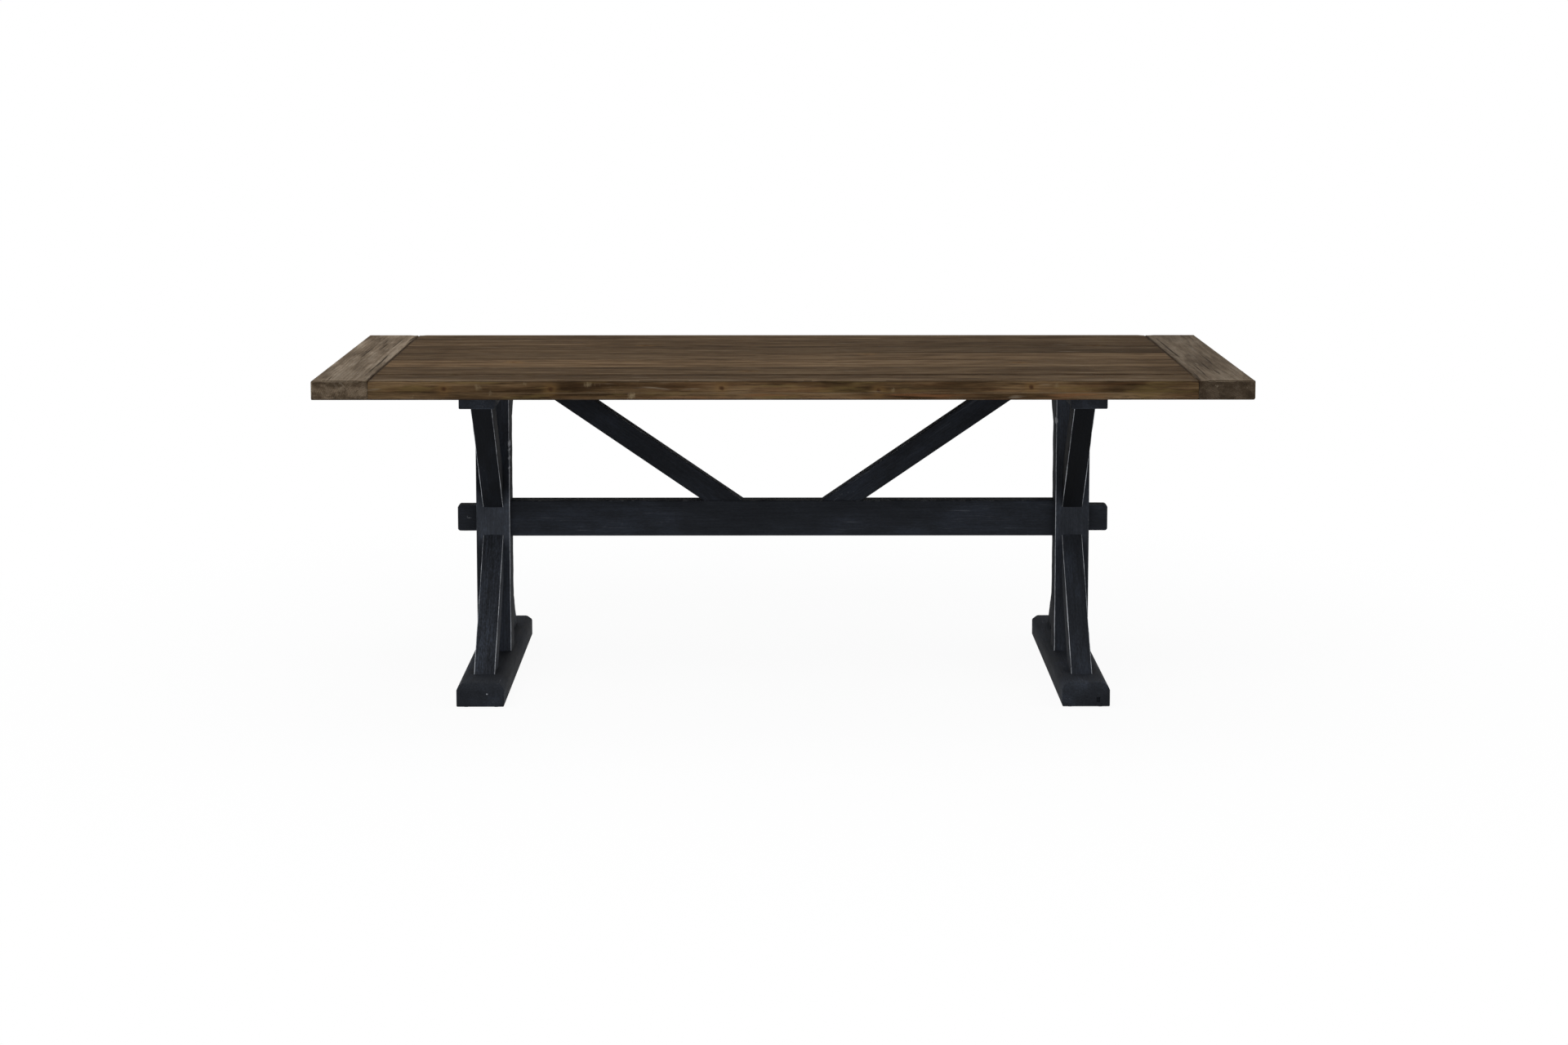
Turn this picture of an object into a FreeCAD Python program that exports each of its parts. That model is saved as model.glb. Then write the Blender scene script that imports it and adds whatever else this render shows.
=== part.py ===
import FreeCAD, Part
import os
import re

import Sketcher
from FreeCAD import Placement, Rotation, Vector

# Extending trestle dining table, in millimetres.
# X runs along the table, the front is towards -Y, Z is up, and the origin is on the floor below the middle.

# Driving sizes
SIZES = {
    # Top
    "top_length": 2134,
    "top_width": 1000,
    "top_height": 775,
    "top_thickness": 44,
    "plank_thickness": 24,
    "edge_board_width": 124,
    "end_board_width": 127,
    "seam_gap": 2,
    "top_ease": 3,
    "board_line_ease": 0.8,
    "tongue_thickness": 7,
    "tongue_length": 9,
    "tongue_clearance": 0.2,
    # Battens and blocks under the top
    "batten_width": 70,
    "batten_clearance": 0.5,
    "end_batten_taper": 131,
    "brace_block_length": 130,
    "brace_block_width": 90,
    # Runners
    "runner_width": 45,
    "runner_height": 35.4,
    "runner_screw_gap": 27.1,
    "runner_centre_gap": 125.5,
    "runner_clearance": 0.3,
    "runner_housing": 97,
    "runner_ease": 2,
    "stop_length": 42,
    "stop_clearance": 0.5,
    # Alignment dowels of the end boards
    "align_radius": 5,
    "align_embed": 20,
    "align_reach": 16,
    "align_tip_length": 3,
    "align_tip_radius": 3.5,
    "align_clearance": 0.3,
    # Trestles
    "end_overhang": 366,
    "cleat_inset": 80,
    "cleat_width": 82,
    "cleat_drop": 31,
    "post_width": 82,
    "post_depth": 86,
    "post_tenon_width": 44,
    "post_tenon_depth": 40,
    "post_tenon_length": 28,
    "foot_length": 830,
    "foot_width": 110,
    "foot_height": 53,
    "foot_bevel": 12,
    "timber_ease": 2,
    "fit_clearance": 0.2,
    # Knee braces
    "knee_width": 50,
    "knee_depth": 62,
    "knee_gap": 67,
    "upper_knee_reach": 282,
    "lower_knee_heel": 345,
    "lower_knee_reach": 265,
    # Stretcher and diagonal braces
    "stretcher_bottom": 339,
    "stretcher_height": 86.5,
    "stretcher_width": 50,
    "tenon_height": 64,
    "tenon_width": 38,
    "tenon_exposed": 47,
    "tenon_tip_round": 7,
    "diagonal_width": 45,
    "diagonal_depth": 55,
    "diagonal_gap": 21,
    "diagonal_middle_gap": 95.7,
    # Glides
    "glide_radius": 11,
    "glide_face_radius": 8,
    "glide_height": 5,
    "glide_pin_radius": 2,
    "glide_pin_length": 14,
    "glide_end_inset": 30,
    "glide_side_inset": 20,
    # Dowels and screws
    "peg_radius": 5,
    "peg_length": 30,
    "screw_head_radius": 5.5,
    "screw_head_height": 3.5,
    "screw_radius": 2.5,
    "screw_clearance": 0.3,
    "screw_cover": 10,
    "long_screw": 45,
    "short_screw": 30,
    "block_screw_offset": 33,
    "runner_screw_inset": 24,
    "cut_overrun": 1,
}

FIELD_PLANKS = 5

# Sizes and places worked out from the driving ones
DERIVED = {
    "top_underside": "top_height - top_thickness",
    "plank_underside": "top_height - plank_thickness",
    "field_length": "top_length - 2 * end_board_width - 2 * seam_gap",
    "field_end": "field_length / 2",
    "field_width": "top_width - 2 * edge_board_width",
    "plank_width": f"field_width / {FIELD_PLANKS}",
    "rebate": "top_thickness - plank_thickness",
    "tongue_bottom": "plank_underside + (plank_thickness - tongue_thickness) / 2",
    "groove_depth": "tongue_length + tongue_clearance",
    "batten_length": "field_width - 2 * batten_clearance",
    "end_batten_centre": "field_end - batten_width / 2",
    "cleat_underside": "top_underside - cleat_drop",
    "cleat_length": "top_width - 2 * cleat_inset",
    "trestle_spacing": "top_length - 2 * end_overhang",
    "post_place": "trestle_spacing / 2",
    "cleat_inner": "post_place - cleat_width / 2",
    "foot_top": "glide_height + foot_height",
    "post_height": "cleat_underside - foot_top",
    "window_height": "runner_height + 2 * runner_clearance",
    "window_width": "runner_width + 2 * runner_clearance",
    "window_floor": "plank_underside - window_height",
    "runner_bottom": "window_floor + runner_clearance",
    "runner_place": "plank_width + runner_screw_gap + runner_width / 2",
    "runner_outer": "top_length / 2 - end_board_width + runner_housing",
    "runner_inner": "batten_width / 2 + runner_centre_gap",
    "runner_length": "runner_outer - runner_inner",
    "slide_travel": "cleat_inner - stop_clearance - stop_length - runner_inner",
    "stop_height": "runner_bottom - cleat_underside - runner_clearance",
    "align_height": "top_height - plank_thickness / 2",
    "stretcher_length": "trestle_spacing - post_width",
    "stretcher_top": "stretcher_bottom + stretcher_height",
    "stretcher_middle": "stretcher_bottom + stretcher_height / 2",
    "tenon_length": "post_width + tenon_exposed",
    "diagonal_rise": "top_underside - stretcher_top",
    "diagonal_reach": "cleat_inner - diagonal_gap - diagonal_middle_gap",
    "diagonal_ratio": "diagonal_depth / diagonal_rise",
    "diagonal_lean": "sqrt(1 + (diagonal_reach / diagonal_rise) ^ 2 - diagonal_ratio ^ 2)",
    "diagonal_run": "(diagonal_reach - diagonal_depth * diagonal_lean) / (1 - diagonal_ratio ^ 2)",
    "diagonal_foot": "diagonal_reach - diagonal_run",
    "upper_knee_heel": "lower_knee_heel + knee_gap",
    "upper_knee_rise": "cleat_underside - upper_knee_heel",
    "upper_knee_slant": "sqrt(upper_knee_reach ^ 2 + upper_knee_rise ^ 2)",
    "upper_knee_seat": "knee_depth * upper_knee_slant / upper_knee_rise",
    "upper_knee_shoulder": "knee_depth * upper_knee_slant / upper_knee_reach",
    "lower_knee_rise": "lower_knee_heel - foot_top",
    "lower_knee_slant": "sqrt(lower_knee_reach ^ 2 + lower_knee_rise ^ 2)",
    "lower_knee_seat": "knee_depth * lower_knee_slant / lower_knee_rise",
    "lower_knee_shoulder": "knee_depth * lower_knee_slant / lower_knee_reach",
    "screw_tip": "top_height - screw_cover",
    "long_seat": "screw_tip - long_screw",
    "short_seat": "screw_tip - short_screw",
    "cleat_screw_place": "(top_width - cleat_inset - edge_board_width) / 2",
    "screw_hole": "screw_radius + screw_clearance",
    "head_hole": "screw_head_radius + screw_clearance",
    "peg_hole": "peg_radius + fit_clearance",
    "peg_depth": "peg_length / 2 + fit_clearance",
    "glide_out_place": "foot_width / 2 - glide_side_inset",
    "glide_end_place": "foot_length / 2 - glide_end_inset",
}

TOUCH = 0.01
TURNS = {"X": Rotation(Vector(0, 1, 0), 90), "Y": Rotation(Vector(1, 0, 0), -90), "Z": Rotation()}
HALF_TURN = Rotation(Vector(0, 0, 1), 180)

doc = FreeCAD.newDocument("extending_table")
sheet = doc.addObject("Spreadsheet::Sheet", "sizes")
for row, (alias, size) in enumerate(SIZES.items(), start=1):
    sheet.set(f"A{row}", alias)
    sheet.set(f"B{row}", str(size))
    sheet.setAlias(f"B{row}", alias)
doc.recompute()

nodes = []


# Formulas on the sheet

def formula(text):
    """Write plain size names as references to the sheet, with derived sizes opened out."""
    def refer(match):
        word = match.group()
        if word in DERIVED:
            return f"({formula(DERIVED[word])})"
        return f"sizes.{word}" if word in SIZES else word
    return re.sub(r"[a-z_]+", refer, str(text))


def measure(text):
    """Value of a formula in millimetres."""
    return float(sheet.evalExpression(formula(text)))


def bind(item, **formulas):
    for name, text in formulas.items():
        item.setExpression(name, formula(text))


def place(item, at, turn=Rotation()):
    """Bind an object's place to three formulas, turned as given."""
    item.Placement = Placement(Vector(), turn)
    for axis, text in zip("xyz", at):
        item.setExpression(f"Placement.Base.{axis}", formula(text))


# Pieces and features

def new_body(label, at, turn=Rotation()):
    body = doc.addObject("PartDesign::Body", label)
    body.Label = label
    place(body, at, turn)
    nodes.append(body)
    return body


def block(body, name, size, corner, cut=False):
    """Box with its lowest corner and its three sides given as formulas."""
    kind = "PartDesign::SubtractiveBox" if cut else "PartDesign::AdditiveBox"
    box = body.newObject(kind, f"{body.Name}_{name}")
    bind(box, Length=size[0], Width=size[1], Height=size[2])
    place(box, corner)
    return box


def drill(body, name, radius, depth, start, along="Z"):
    """Round hole from a starting point along +X, +Y or +Z."""
    hole = body.newObject("PartDesign::SubtractiveCylinder", f"{body.Name}_{name}")
    bind(hole, Radius=radius, Height=depth)
    place(hole, start, TURNS[along])
    return hole


def outline(body, name, plane, corners):
    """Closed sketch through corners given as pairs of formulas, none of them negative."""
    sketch = body.newObject("Sketcher::SketchObject", f"{body.Name}_{name}")
    support = [feature for feature in body.Origin.OriginFeatures if feature.Role == plane]
    sketch.AttachmentSupport = [(support[0], "")]
    sketch.MapMode = "FlatFace"
    spots = [Vector(measure(across), measure(up), 0) for across, up in corners]
    for start, end in zip(spots, spots[1:] + spots[:1]):
        sketch.addGeometry(Part.LineSegment(start, end), False)
    for line in range(len(spots)):
        following = (line + 1) % len(spots)
        sketch.addConstraint(Sketcher.Constraint("Coincident", line, 2, following, 1))
    for line, corner in enumerate(corners):
        for text, kind, axis in zip(corner, ("DistanceX", "DistanceY"), (-2, -1)):
            if text == "0":
                sketch.addConstraint(Sketcher.Constraint("PointOnObject", line, 1, axis))
                continue
            spot = Sketcher.Constraint(kind, -1, 1, line, 1, measure(text))
            number = sketch.addConstraint(spot)
            sketch.setExpression(f"Constraints[{number}]", formula(text))
    return sketch


def pad(body, name, plane, corners, length):
    """Outline given thickness evenly to both sides of its plane."""
    solid = body.newObject("PartDesign::Pad", f"{body.Name}_{name}")
    solid.Profile = outline(body, f"{name}_outline", plane, corners)
    solid.Midplane = True
    bind(solid, Length=length)
    body.Tip = solid
    return solid


def ease(body, name, base, size, wanted, kind="Chamfer"):
    """Chamfer or fillet on the edges of a feature that a test picks out."""
    doc.recompute()
    picked = [f"Edge{n}" for n, edge in enumerate(base.Shape.Edges, start=1) if wanted(edge)]
    feature = body.newObject(f"PartDesign::{kind}", f"{body.Name}_{name}")
    feature.Base = (base, picked)
    bind(feature, **{"Size" if kind == "Chamfer" else "Radius": size})
    return feature


def runs_along(edge, axis):
    """True for a straight edge along one axis of its body."""
    start, end = edge.Vertexes[0].Point, edge.Vertexes[-1].Point
    others = [name for name in "xyz" if name != axis]
    return all(abs(getattr(start, name) - getattr(end, name)) < TOUCH for name in others)


def lies_at(edge, axis, text):
    """True for an edge whose whole length is at one coordinate."""
    level = measure(text)
    return all(abs(getattr(vertex.Point, axis) - level) < TOUCH for vertex in edge.Vertexes)


def is_slanted(edge):
    return not any(runs_along(edge, axis) for axis in "xyz")


def cylinder(name, radius, height, at, along="Z"):
    item = doc.addObject("Part::Cylinder", name)
    bind(item, Radius=radius, Height=height)
    place(item, at, TURNS[along])
    return item


def cone(name, near, far, height, at, along="Z"):
    item = doc.addObject("Part::Cone", name)
    bind(item, Radius1=near, Radius2=far, Height=height)
    place(item, at, TURNS[along])
    return item


def fuse(name, first, second):
    item = doc.addObject("Part::Fuse", name)
    item.Base = first
    item.Tool = second
    return item


def group(label, members, turn=Rotation()):
    """One node that holds several separate solids."""
    item = doc.addObject("Part::Compound", label)
    item.Label = label
    item.Links = members
    item.Placement = Placement(Vector(), turn)
    nodes.append(item)
    return item


def screw(name, x, y, seat, length):
    """Flat-headed screw driven upwards, with the underside of its head at the seat."""
    shank = cylinder(f"{name}_shank", "screw_radius", length, (x, y, seat))
    at_head = (x, y, f"{seat} - screw_head_height")
    head = cylinder(f"{name}_head", "screw_head_radius", "screw_head_height", at_head)
    return fuse(name, shank, head)


def screw_hole(body, name, x, y, bottom, seat):
    """Counterbore from the underside up to the seat, then a clear hole through to the top."""
    start = f"{bottom} - cut_overrun"
    drill(body, f"{name}_head", "head_hole", f"{seat} - ({start})", (x, y, start))
    drill(body, f"{name}_shank", "screw_hole", f"top_height - ({seat})", (x, y, seat))


def pilot_hole(body, name, x, y, bottom):
    """Blind hole from the underside of a board up to the screw's tip."""
    start = f"{bottom} - cut_overrun"
    drill(body, name, "screw_hole", f"screw_tip + screw_clearance - ({start})", (x, y, start))


# Top boards

def tongue(body, length, side):
    """Tongue along a board's rear side, at the middle of the plank thickness."""
    size = (length, "tongue_length", "tongue_thickness")
    block(body, "tongue", size, (f"-({length}) / 2", side, "tongue_bottom"))


def groove(body, length, start="-cut_overrun"):
    """Groove along one side of a board, a little larger than the tongue that enters it."""
    size = (f"{length} + 2 * cut_overrun", "groove_depth + cut_overrun",
            "tongue_thickness + 2 * tongue_clearance")
    corner = (f"-({length}) / 2 - cut_overrun", start, "tongue_bottom - tongue_clearance")
    block(body, "groove", size, corner, cut=True)


def ease_plank_ends(body, base):
    """Arris at both ends of a board, beside the open seams."""
    def wanted(edge):
        ends = lies_at(edge, "x", "field_end") or lies_at(edge, "x", "-(field_end)")
        return ends and lies_at(edge, "z", "top_height")
    ease(body, "end_arris", base, "board_line_ease", wanted)


def edge_board(label, front):
    """Full-thickness board along one long side of the top, with its outer arrises eased."""
    width = "edge_board_width"
    profile = [
        ("top_ease", "top_underside"),
        (width, "top_underside"),
        (width, "top_height - board_line_ease"),
        (f"{width} - board_line_ease", "top_height"),
        ("top_ease", "top_height"),
        ("0", "top_height - top_ease"),
        ("0", "top_underside + top_ease"),
    ]
    if front:
        board = new_body(label, ("0", "-top_width / 2", "0"))
    else:
        board = new_body(label, ("0", "top_width / 2", "0"), HALF_TURN)
    solid = pad(board, "board", "YZ_Plane", profile, "field_length")
    ease_plank_ends(board, solid)
    if front:
        tongue(board, "field_length", width)
    else:
        groove(board, "field_length", f"{width} - groove_depth")
    screw_line = "top_width / 2 - cleat_screw_place"
    for side, sign in (("left", "-"), ("right", "")):
        pilot_hole(board, f"{side}_pilot", f"{sign}(post_place)", screw_line, "top_underside")


def field_plank(number):
    """Thin plank of the field, tongued into the board behind it."""
    middle = f"(plank_width) * {number - (FIELD_PLANKS + 1) / 2}"
    plank = new_body(f"field_plank_{number}", ("0", f"{middle} - plank_width / 2", "0"))
    profile = [
        ("0", "plank_underside"),
        ("plank_width", "plank_underside"),
        ("plank_width", "top_height - board_line_ease"),
        ("plank_width - board_line_ease", "top_height"),
        ("board_line_ease", "top_height"),
        ("0", "top_height - board_line_ease"),
    ]
    solid = pad(plank, "board", "YZ_Plane", profile, "field_length")
    ease_plank_ends(plank, solid)
    tongue(plank, "field_length", "plank_width")
    groove(plank, "field_length")
    pilots = {"centre": "0", "left_end": "-(end_batten_centre)", "right_end": "end_batten_centre"}
    if number in (2, FIELD_PLANKS - 1):
        pilots.update({"left_cleat": "-(post_place)", "right_cleat": "post_place"})
    for name, x in pilots.items():
        pilot_hole(plank, f"{name}_pilot", x, "plank_width / 2", "plank_underside")
    if number == (FIELD_PLANKS + 1) // 2:
        for side, sign in (("left", "-"), ("right", "")):
            for end, way in (("front", "-"), ("rear", "")):
                x = f"{sign}(cleat_inner - brace_block_length / 2)"
                y = f"plank_width / 2 {way or '+'} block_screw_offset"
                pilot_hole(plank, f"{side}_{end}_block_pilot", x, y, "plank_underside")
    if number in (1, (FIELD_PLANKS + 1) // 2, FIELD_PLANKS):
        hole = "align_radius + align_clearance"
        depth = "align_reach + align_clearance + cut_overrun"
        for side, start in (("left", "-(field_end) - cut_overrun"),
                            ("right", "field_end - align_reach - align_clearance")):
            drill(plank, f"{side}_align_hole", hole, depth, (start, "plank_width / 2", "align_height"), "X")


def align_lines():
    """Places across the top of the alignment dowels: the middles of the outer and centre planks."""
    return {"front": f"-(plank_width) * {(FIELD_PLANKS - 1) / 2}", "middle": "0",
            "rear": f"(plank_width) * {(FIELD_PLANKS - 1) / 2}"}


def end_board(side, turn):
    """Cross board that pulls out, housed below for the runners and bored for the dowels."""
    board = new_body(f"{side}_end_board", ("0", "0", "0"), turn)
    inner = "top_length / 2 - end_board_width"
    size = ("end_board_width", "top_width", "top_thickness")
    solid = block(board, "board", size, (inner, "-top_width / 2", "top_underside"))

    def outer(edge):
        return not lies_at(edge, "x", inner)

    def inner_top(edge):
        return lies_at(edge, "x", inner) and lies_at(edge, "z", "top_height")
    solid = ease(board, "outer_arris", solid, "top_ease", outer)
    ease(board, "seam_arris", solid, "board_line_ease", inner_top)
    for end, way in (("front", "-"), ("rear", "")):
        line = f"{way}(runner_place)"
        size = ("runner_housing + fit_clearance + cut_overrun", "window_width",
                "plank_underside - top_underside + cut_overrun")
        corner = (f"{inner} - cut_overrun", f"{line} - window_width / 2", "top_underside - cut_overrun")
        block(board, f"{end}_housing", size, corner, cut=True)
        for place_name, x in runner_screw_places().items():
            pilot_hole(board, f"{end}_{place_name}_pilot", x, line, "plank_underside")
    for name, line in align_lines().items():
        depth = "align_embed + fit_clearance + cut_overrun"
        start = (f"{inner} - cut_overrun", line, "align_height")
        drill(board, f"{name}_dowel_hole", "align_radius + fit_clearance", depth, start, "X")


# Sliding parts below the end boards

def runner_screw_places():
    """Places along the table of the two screws that hold a runner in its end board."""
    return {"outer": "runner_outer - runner_screw_inset",
            "inner": "runner_outer - runner_housing + runner_screw_inset"}


def runner(side, end, turn, way):
    """Square hardwood runner, eased along its length and bored for its screws."""
    line = f"{way}(runner_place)"
    rail = new_body(f"{side}_{end}_runner", ("0", "0", "0"), turn)
    size = ("runner_length", "runner_width", "runner_height")
    solid = block(rail, "rail", size, ("runner_inner", f"{line} - runner_width / 2", "runner_bottom"))
    ease(rail, "arris", solid, "runner_ease", lambda edge: runs_along(edge, "x"))
    for name, x in runner_screw_places().items():
        screw_hole(rail, f"{name}_screw", x, line, "runner_bottom", "long_seat")


def runner_stop(side, end, turn, way):
    """Block below the inner end of a runner that meets the cleat at full travel."""
    stop = new_body(f"{side}_{end}_runner_stop", ("0", "0", "0"), turn)
    size = ("stop_length", "runner_width - 2 * runner_ease", "stop_height")
    corner = ("runner_inner", f"{way}(runner_place) - runner_width / 2 + runner_ease",
              "runner_bottom - stop_height")
    solid = block(stop, "block", size, corner)
    ease(stop, "arris", solid, "runner_ease", lambda edge: lies_at(edge, "z", corner[2]))


def align_dowels(side, turn):
    dowels = []
    start = "top_length / 2 - end_board_width + align_embed"
    length = "align_embed + seam_gap + align_reach - align_tip_length"
    for name, line in align_lines().items():
        title = f"{side}_{name}_align"
        tail = f"{start} - ({length})"
        pin = cylinder(f"{title}_pin", "align_radius", length, (tail, line, "align_height"), "X")
        at_tip = (f"{tail} - align_tip_length", line, "align_height")
        tip = cone(f"{title}_tip", "align_tip_radius", "align_radius", "align_tip_length", at_tip, "X")
        dowels.append(fuse(f"{title}_dowel", pin, tip))
    group(f"{side}_alignment_dowels", dowels, turn)


def runner_screws(side, turn):
    screws = []
    for end, way in (("front", "-"), ("rear", "")):
        for name, x in runner_screw_places().items():
            title = f"{side}_{end}_{name}_runner_screw"
            screws.append(screw(title, x, f"{way}(runner_place)", "long_seat", "long_screw"))
    group(f"{side}_runner_screws", screws, turn)


# Battens and blocks

def plank_lines():
    """Middle of each field plank, across the top."""
    return [f"(plank_width) * {number - (FIELD_PLANKS + 1) / 2}" for number in range(1, FIELD_PLANKS + 1)]


def centre_batten():
    batten = new_body("centre_batten", ("0", "0", "0"))
    size = ("batten_width", "batten_length", "rebate")
    solid = block(batten, "bar", size, ("-batten_width / 2", "-(batten_length) / 2", "top_underside"))
    ease(batten, "arris", solid, "timber_ease", lambda edge: lies_at(edge, "z", "top_underside"))
    for number, line in enumerate(plank_lines(), start=1):
        screw_hole(batten, f"screw_{number}", "0", line, "top_underside", "short_seat")


def end_batten(side, sign):
    """Deep batten at the plank ends, with windows for the runners and ends that rise out of sight."""
    batten = new_body(f"{side}_end_batten", (f"{sign}(end_batten_centre)", "-(batten_length) / 2", "0"))
    profile = [
        ("0", "top_underside"),
        ("end_batten_taper", "cleat_underside"),
        ("batten_length - end_batten_taper", "cleat_underside"),
        ("batten_length", "top_underside"),
        ("batten_length", "plank_underside"),
        ("0", "plank_underside"),
    ]
    pad(batten, "bar", "YZ_Plane", profile, "batten_width")
    runner_windows(batten, "batten_width", "batten_length / 2")
    for number, line in enumerate(plank_lines(), start=1):
        screw_hole(batten, f"screw_{number}", "0", f"batten_length / 2 + {line}", "cleat_underside",
                   "long_seat")


def runner_windows(body, width, middle):
    """Notches, open at the top, in which the two runners slide."""
    for end, way in (("front", "-"), ("rear", "+")):
        size = (f"{width} + 2 * cut_overrun", "window_width", "window_height + cut_overrun")
        corner = (f"-({width}) / 2 - cut_overrun", f"{middle} {way} runner_place - window_width / 2",
                  "window_floor")
        block(body, f"{end}_window", size, corner, cut=True)


def brace_block(side, turn):
    """Block beside the cleat that takes the top of a diagonal brace."""
    piece = new_body(f"{side}_brace_block", ("0", "0", "0"), turn)
    size = ("brace_block_length", "brace_block_width", "rebate")
    corner = ("cleat_inner - brace_block_length", "-brace_block_width / 2", "top_underside")
    solid = block(piece, "block", size, corner)
    ease(piece, "arris", solid, "timber_ease",
         lambda edge: lies_at(edge, "z", "top_underside") and not lies_at(edge, "x", "cleat_inner"))
    middle = "cleat_inner - brace_block_length / 2"
    for end, way in (("front", "-"), ("rear", "")):
        screw_hole(piece, f"{end}_screw", middle, f"{way}block_screw_offset", "top_underside", "short_seat")
    peg_x, peg_z = diagonal_peg_places()["upper"]
    drill(piece, "peg_hole", "peg_hole", "peg_depth + cut_overrun", (peg_x, "0", f"{peg_z} - cut_overrun"))


# Trestles

def foot(side, sign):
    """Sled foot, bevelled round its top, mortised for the post."""
    sled = new_body(f"{side}_foot", (f"{sign}(post_place)", "0", "glide_height"))
    size = ("foot_width", "foot_length", "foot_height")
    solid = block(sled, "beam", size, ("-foot_width / 2", "-foot_length / 2", "0"))
    ease(sled, "bevel", solid, "foot_bevel", lambda edge: lies_at(edge, "z", "foot_height"))
    size = ("post_tenon_width + 2 * fit_clearance", "post_tenon_depth + 2 * fit_clearance",
            "post_tenon_length + fit_clearance + cut_overrun")
    corner = ("-post_tenon_width / 2 - fit_clearance", "-post_tenon_depth / 2 - fit_clearance",
              "foot_height - post_tenon_length - fit_clearance")
    block(sled, "mortise", size, corner, cut=True)
    for end, way in (("front", "-"), ("rear", "")):
        y = f"{way}(post_depth / 2 + lower_knee_reach - lower_knee_seat / 2)"
        drill(sled, f"{end}_peg_hole", "peg_hole", "peg_depth + cut_overrun",
              ("0", y, "foot_height - peg_depth"))
    for name, (x, y) in glide_places().items():
        start = (x, y, "-cut_overrun")
        depth = "glide_pin_length + fit_clearance + cut_overrun"
        drill(sled, f"{name}_pin_hole", "glide_pin_radius + fit_clearance", depth, start)


def glide_places():
    """Places of the four glides of a foot, from its middle."""
    return {f"{end}_{side}": (f"{sign}(glide_out_place)", f"{way}(glide_end_place)")
            for end, way in (("front", "-"), ("rear", ""))
            for side, sign in (("left", "-"), ("right", ""))}


def floor_glides():
    """Nailed glides with a flat face on the floor."""
    glides = []
    for side, sign in (("left", "-"), ("right", "")):
        for name, (x, y) in glide_places().items():
            title = f"{side}_foot_{name}_glide"
            spot = f"{sign}(post_place) + {x}"
            pin = cylinder(f"{title}_pin", "glide_pin_radius", "glide_pin_length", (spot, y, "glide_height"))
            cap = cone(f"{title}_cap", "glide_face_radius", "glide_radius", "glide_height", (spot, y, "0"))
            glides.append(fuse(title, cap, pin))
    group("floor_glides", glides)


def post(side, sign):
    """Upright with a stub tenon at both ends and a through mortise for the stretcher."""
    upright = new_body(f"{side}_post", (f"{sign}(post_place)", "0", "foot_top"))
    size = ("post_width", "post_depth", "post_height")
    solid = block(upright, "shaft", size, ("-post_width / 2", "-post_depth / 2", "0"))
    ease(upright, "arris", solid, "timber_ease", lambda edge: runs_along(edge, "z"))
    for name, bottom in (("foot_tenon", "-post_tenon_length"), ("cleat_tenon", "post_height")):
        size = ("post_tenon_width", "post_tenon_depth", "post_tenon_length")
        block(upright, name, size, ("-post_tenon_width / 2", "-post_tenon_depth / 2", bottom))
    size = ("post_width + 2 * cut_overrun", "tenon_width + 2 * fit_clearance",
            "tenon_height + 2 * fit_clearance")
    corner = ("-post_width / 2 - cut_overrun", "-tenon_width / 2 - fit_clearance",
              "stretcher_middle - tenon_height / 2 - fit_clearance - (foot_top)")
    block(upright, "mortise", size, corner, cut=True)
    heights = {"upper": "upper_knee_heel + upper_knee_shoulder / 2 - (foot_top)",
               "lower": "lower_knee_heel - lower_knee_shoulder / 2 - (foot_top)"}
    for level, z in heights.items():
        depth = "peg_depth + cut_overrun"
        drill(upright, f"front_{level}_peg_hole", "peg_hole", depth,
              ("0", "-post_depth / 2 - cut_overrun", z), "Y")
        drill(upright, f"rear_{level}_peg_hole", "peg_hole", depth,
              ("0", "post_depth / 2 - peg_depth", z), "Y")


def cleat(side, sign):
    """Bearer under the top, rebated under the edge boards, with windows for the runners."""
    bearer = new_body(f"{side}_cleat", (f"{sign}(post_place)", "-cleat_length / 2", "0"))
    step = "(cleat_length - batten_length) / 2"
    profile = [
        ("timber_ease", "cleat_underside"),
        ("cleat_length - timber_ease", "cleat_underside"),
        ("cleat_length", "cleat_underside + timber_ease"),
        ("cleat_length", "top_underside"),
        (f"cleat_length - {step}", "top_underside"),
        (f"cleat_length - {step}", "plank_underside"),
        (step, "plank_underside"),
        (step, "top_underside"),
        ("0", "top_underside"),
        ("0", "cleat_underside + timber_ease"),
    ]
    pad(bearer, "bar", "YZ_Plane", profile, "cleat_width")
    runner_windows(bearer, "cleat_width", "cleat_length / 2")
    below = "cleat_underside - cut_overrun"
    size = ("post_tenon_width + 2 * fit_clearance", "post_tenon_depth + 2 * fit_clearance",
            "post_tenon_length + fit_clearance + cut_overrun")
    corner = ("-post_tenon_width / 2 - fit_clearance",
              "cleat_length / 2 - post_tenon_depth / 2 - fit_clearance", below)
    block(bearer, "mortise", size, corner, cut=True)
    for name, line in cleat_screw_lines().items():
        screw_hole(bearer, f"{name}_screw", "0", f"cleat_length / 2 + {line}", "cleat_underside", "long_seat")
    for end, way in (("front", "-"), ("rear", "+")):
        y = f"cleat_length / 2 {way} (post_depth / 2 + upper_knee_reach - upper_knee_seat / 2)"
        drill(bearer, f"{end}_peg_hole", "peg_hole", "peg_depth + cut_overrun", ("0", y, below))


def cleat_screw_lines():
    """Places across the top of a cleat's screws: both edge boards and the second and fourth planks."""
    return {"front_edge": "-(cleat_screw_place)", "front_plank": "-(plank_width)",
            "rear_plank": "plank_width", "rear_edge": "cleat_screw_place"}


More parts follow.
